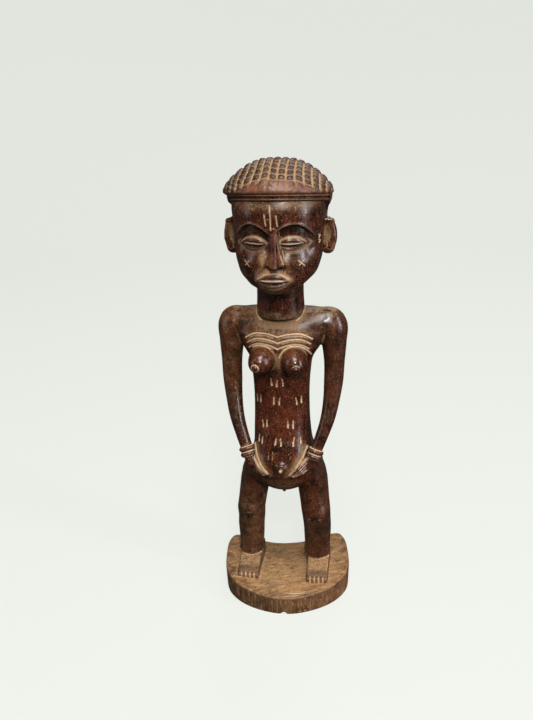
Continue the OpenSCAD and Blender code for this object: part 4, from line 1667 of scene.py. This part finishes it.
# ---------------------------------------------------------------- camera, light and backdrop
# A metre at the figure's own size, and the camera's place and aim
METRE = UNIT * 1000
LENS = 37.45
CAMERA_AZIMUTH = math.radians(8)
CAMERA_REACH = 0.687
CAMERA_HEIGHT = 0.521
CAMERA_PITCH = math.radians(21.1)
CAMERA_YAW = math.radians(1.34)
CAMERA_ROLL = math.radians(1.8)


def aim(thing, place, target, roll=0.0):
    """Puts a camera or a lamp at a place, looking at a target."""
    look = (Vector(target) - Vector(place)).normalized()
    right = look.cross(Vector((0, 0, 1))).normalized()
    up = right.cross(look)
    cos, sin = math.cos(roll), math.sin(roll)
    right, up = right * cos - up * sin, up * cos + right * sin
    rows = [[right[i], up[i], -look[i], place[i]] for i in range(3)] + [[0, 0, 0, 1]]
    thing.matrix_world = type(thing.matrix_world)(rows)


def set_camera():
    lens = bpy.data.cameras.new("camera")
    lens.lens = LENS
    lens.clip_start, lens.clip_end = 0.01, 50
    camera = bpy.data.objects.new("camera", lens)
    scene = bpy.context.scene
    scene.collection.objects.link(camera)
    scene.camera = camera
    across, back = math.sin(CAMERA_AZIMUTH), math.cos(CAMERA_AZIMUTH)
    place = [CAMERA_REACH * across * METRE, -CAMERA_REACH * back * METRE, CAMERA_HEIGHT * METRE]
    turn = CAMERA_AZIMUTH + CAMERA_YAW
    look = [-math.sin(turn), math.cos(turn), -math.tan(CAMERA_PITCH)]
    aim(camera, place, [p + q for p, q in zip(place, look)], CAMERA_ROLL)


def lamp(name, place, target, size, power, tint):
    """A rectangular lamp; places and sizes are in metres at the figure's own size."""
    light = bpy.data.lights.new(name, "AREA")
    light.shape = "RECTANGLE"
    light.size, light.size_y = size[0] * METRE, size[1] * METRE
    light.energy = power * METRE ** 2
    light.color = tint
    thing = bpy.data.objects.new(name, light)
    bpy.context.scene.collection.objects.link(thing)
    aim(thing, [p * METRE for p in place], [t * METRE for t in target])


WARM = (1.0, 0.98, 0.95)
BELLY = (0, 0, 0.22)


def set_lights():
    lamp("window", (1.6, -0.6, 0.75), BELLY, (0.12, 1.3), 18, (0.95, 0.93, 1.0))
    lamp("key", (0.3, -1.4, 1.35), BELLY, (0.3, 0.3), 20, WARM)
    lamp("top", (0.15, -0.6, 1.7), (0, 0, 0.2), (0.6, 0.6), 19, WARM)
    lamp("left", (-1.5, -0.6, 0.8), BELLY, (0.2, 1.3), 3.5, (0.96, 0.97, 1.0))
    lamp("back", (0.2, 1.7, 1.6), BELLY, (0.9, 0.9), 9, WARM)
    world = bpy.data.worlds.new("studio")
    bpy.context.scene.world = world
    world.use_nodes = True
    sky = world.node_tree.nodes["Background"]
    sky.inputs["Color"].default_value = (1.0, 0.97, 0.93, 1)
    sky.inputs["Strength"].default_value = 0.06


def backdrop():
    """A pale floor that curves up into a wall all round."""
    flat, curve, wall, around = 1.6 * METRE, 1.0 * METRE, 3.2 * METRE, 72
    profile = [(0.0, 0.0), (flat * 0.3, 0.0), (flat, 0.0)]
    for i in range(1, 13):
        turn = math.radians(90 * i / 12)
        profile.append((flat + curve * math.sin(turn), curve * (1 - math.cos(turn))))
    profile.append((flat + curve, wall))
    turns = [2 * math.pi * k / around for k in range(around)]
    points = [(r * math.cos(turn), r * math.sin(turn), height) for r, height in profile for turn in turns]
    ring = [(k, (k + 1) % around) for k in range(around)]
    starts = [around * i for i in range(len(profile) - 1)]
    faces = [(a + k, a + n, a + around + n, a + around + k) for a in starts for k, n in ring]
    mesh = bpy.data.meshes.new("backdrop")
    mesh.from_pydata(points, [], faces)
    mesh.shade_smooth()
    floor = bpy.data.objects.new("backdrop", mesh)
    bpy.context.scene.collection.objects.link(floor)
    floor.visible_glossy = False
    floor.visible_diffuse = False
    paper = bpy.data.materials.new("paper")
    paper.use_nodes = True
    shader = paper.node_tree.nodes["Principled BSDF"]
    shader.inputs["Base Color"].default_value = (0.12, 0.12, 0.12, 1)
    shader.inputs["Roughness"].default_value = 0.9
    shader.inputs["Emission Color"].default_value = (0.78, 0.81, 0.75, 1)
    shader.inputs["Emission Strength"].default_value = 0.9
    mesh.materials.append(paper)


bpy.context.scene.view_settings.view_transform = "Standard"
build_figure()
set_camera()
set_lights()
backdrop()
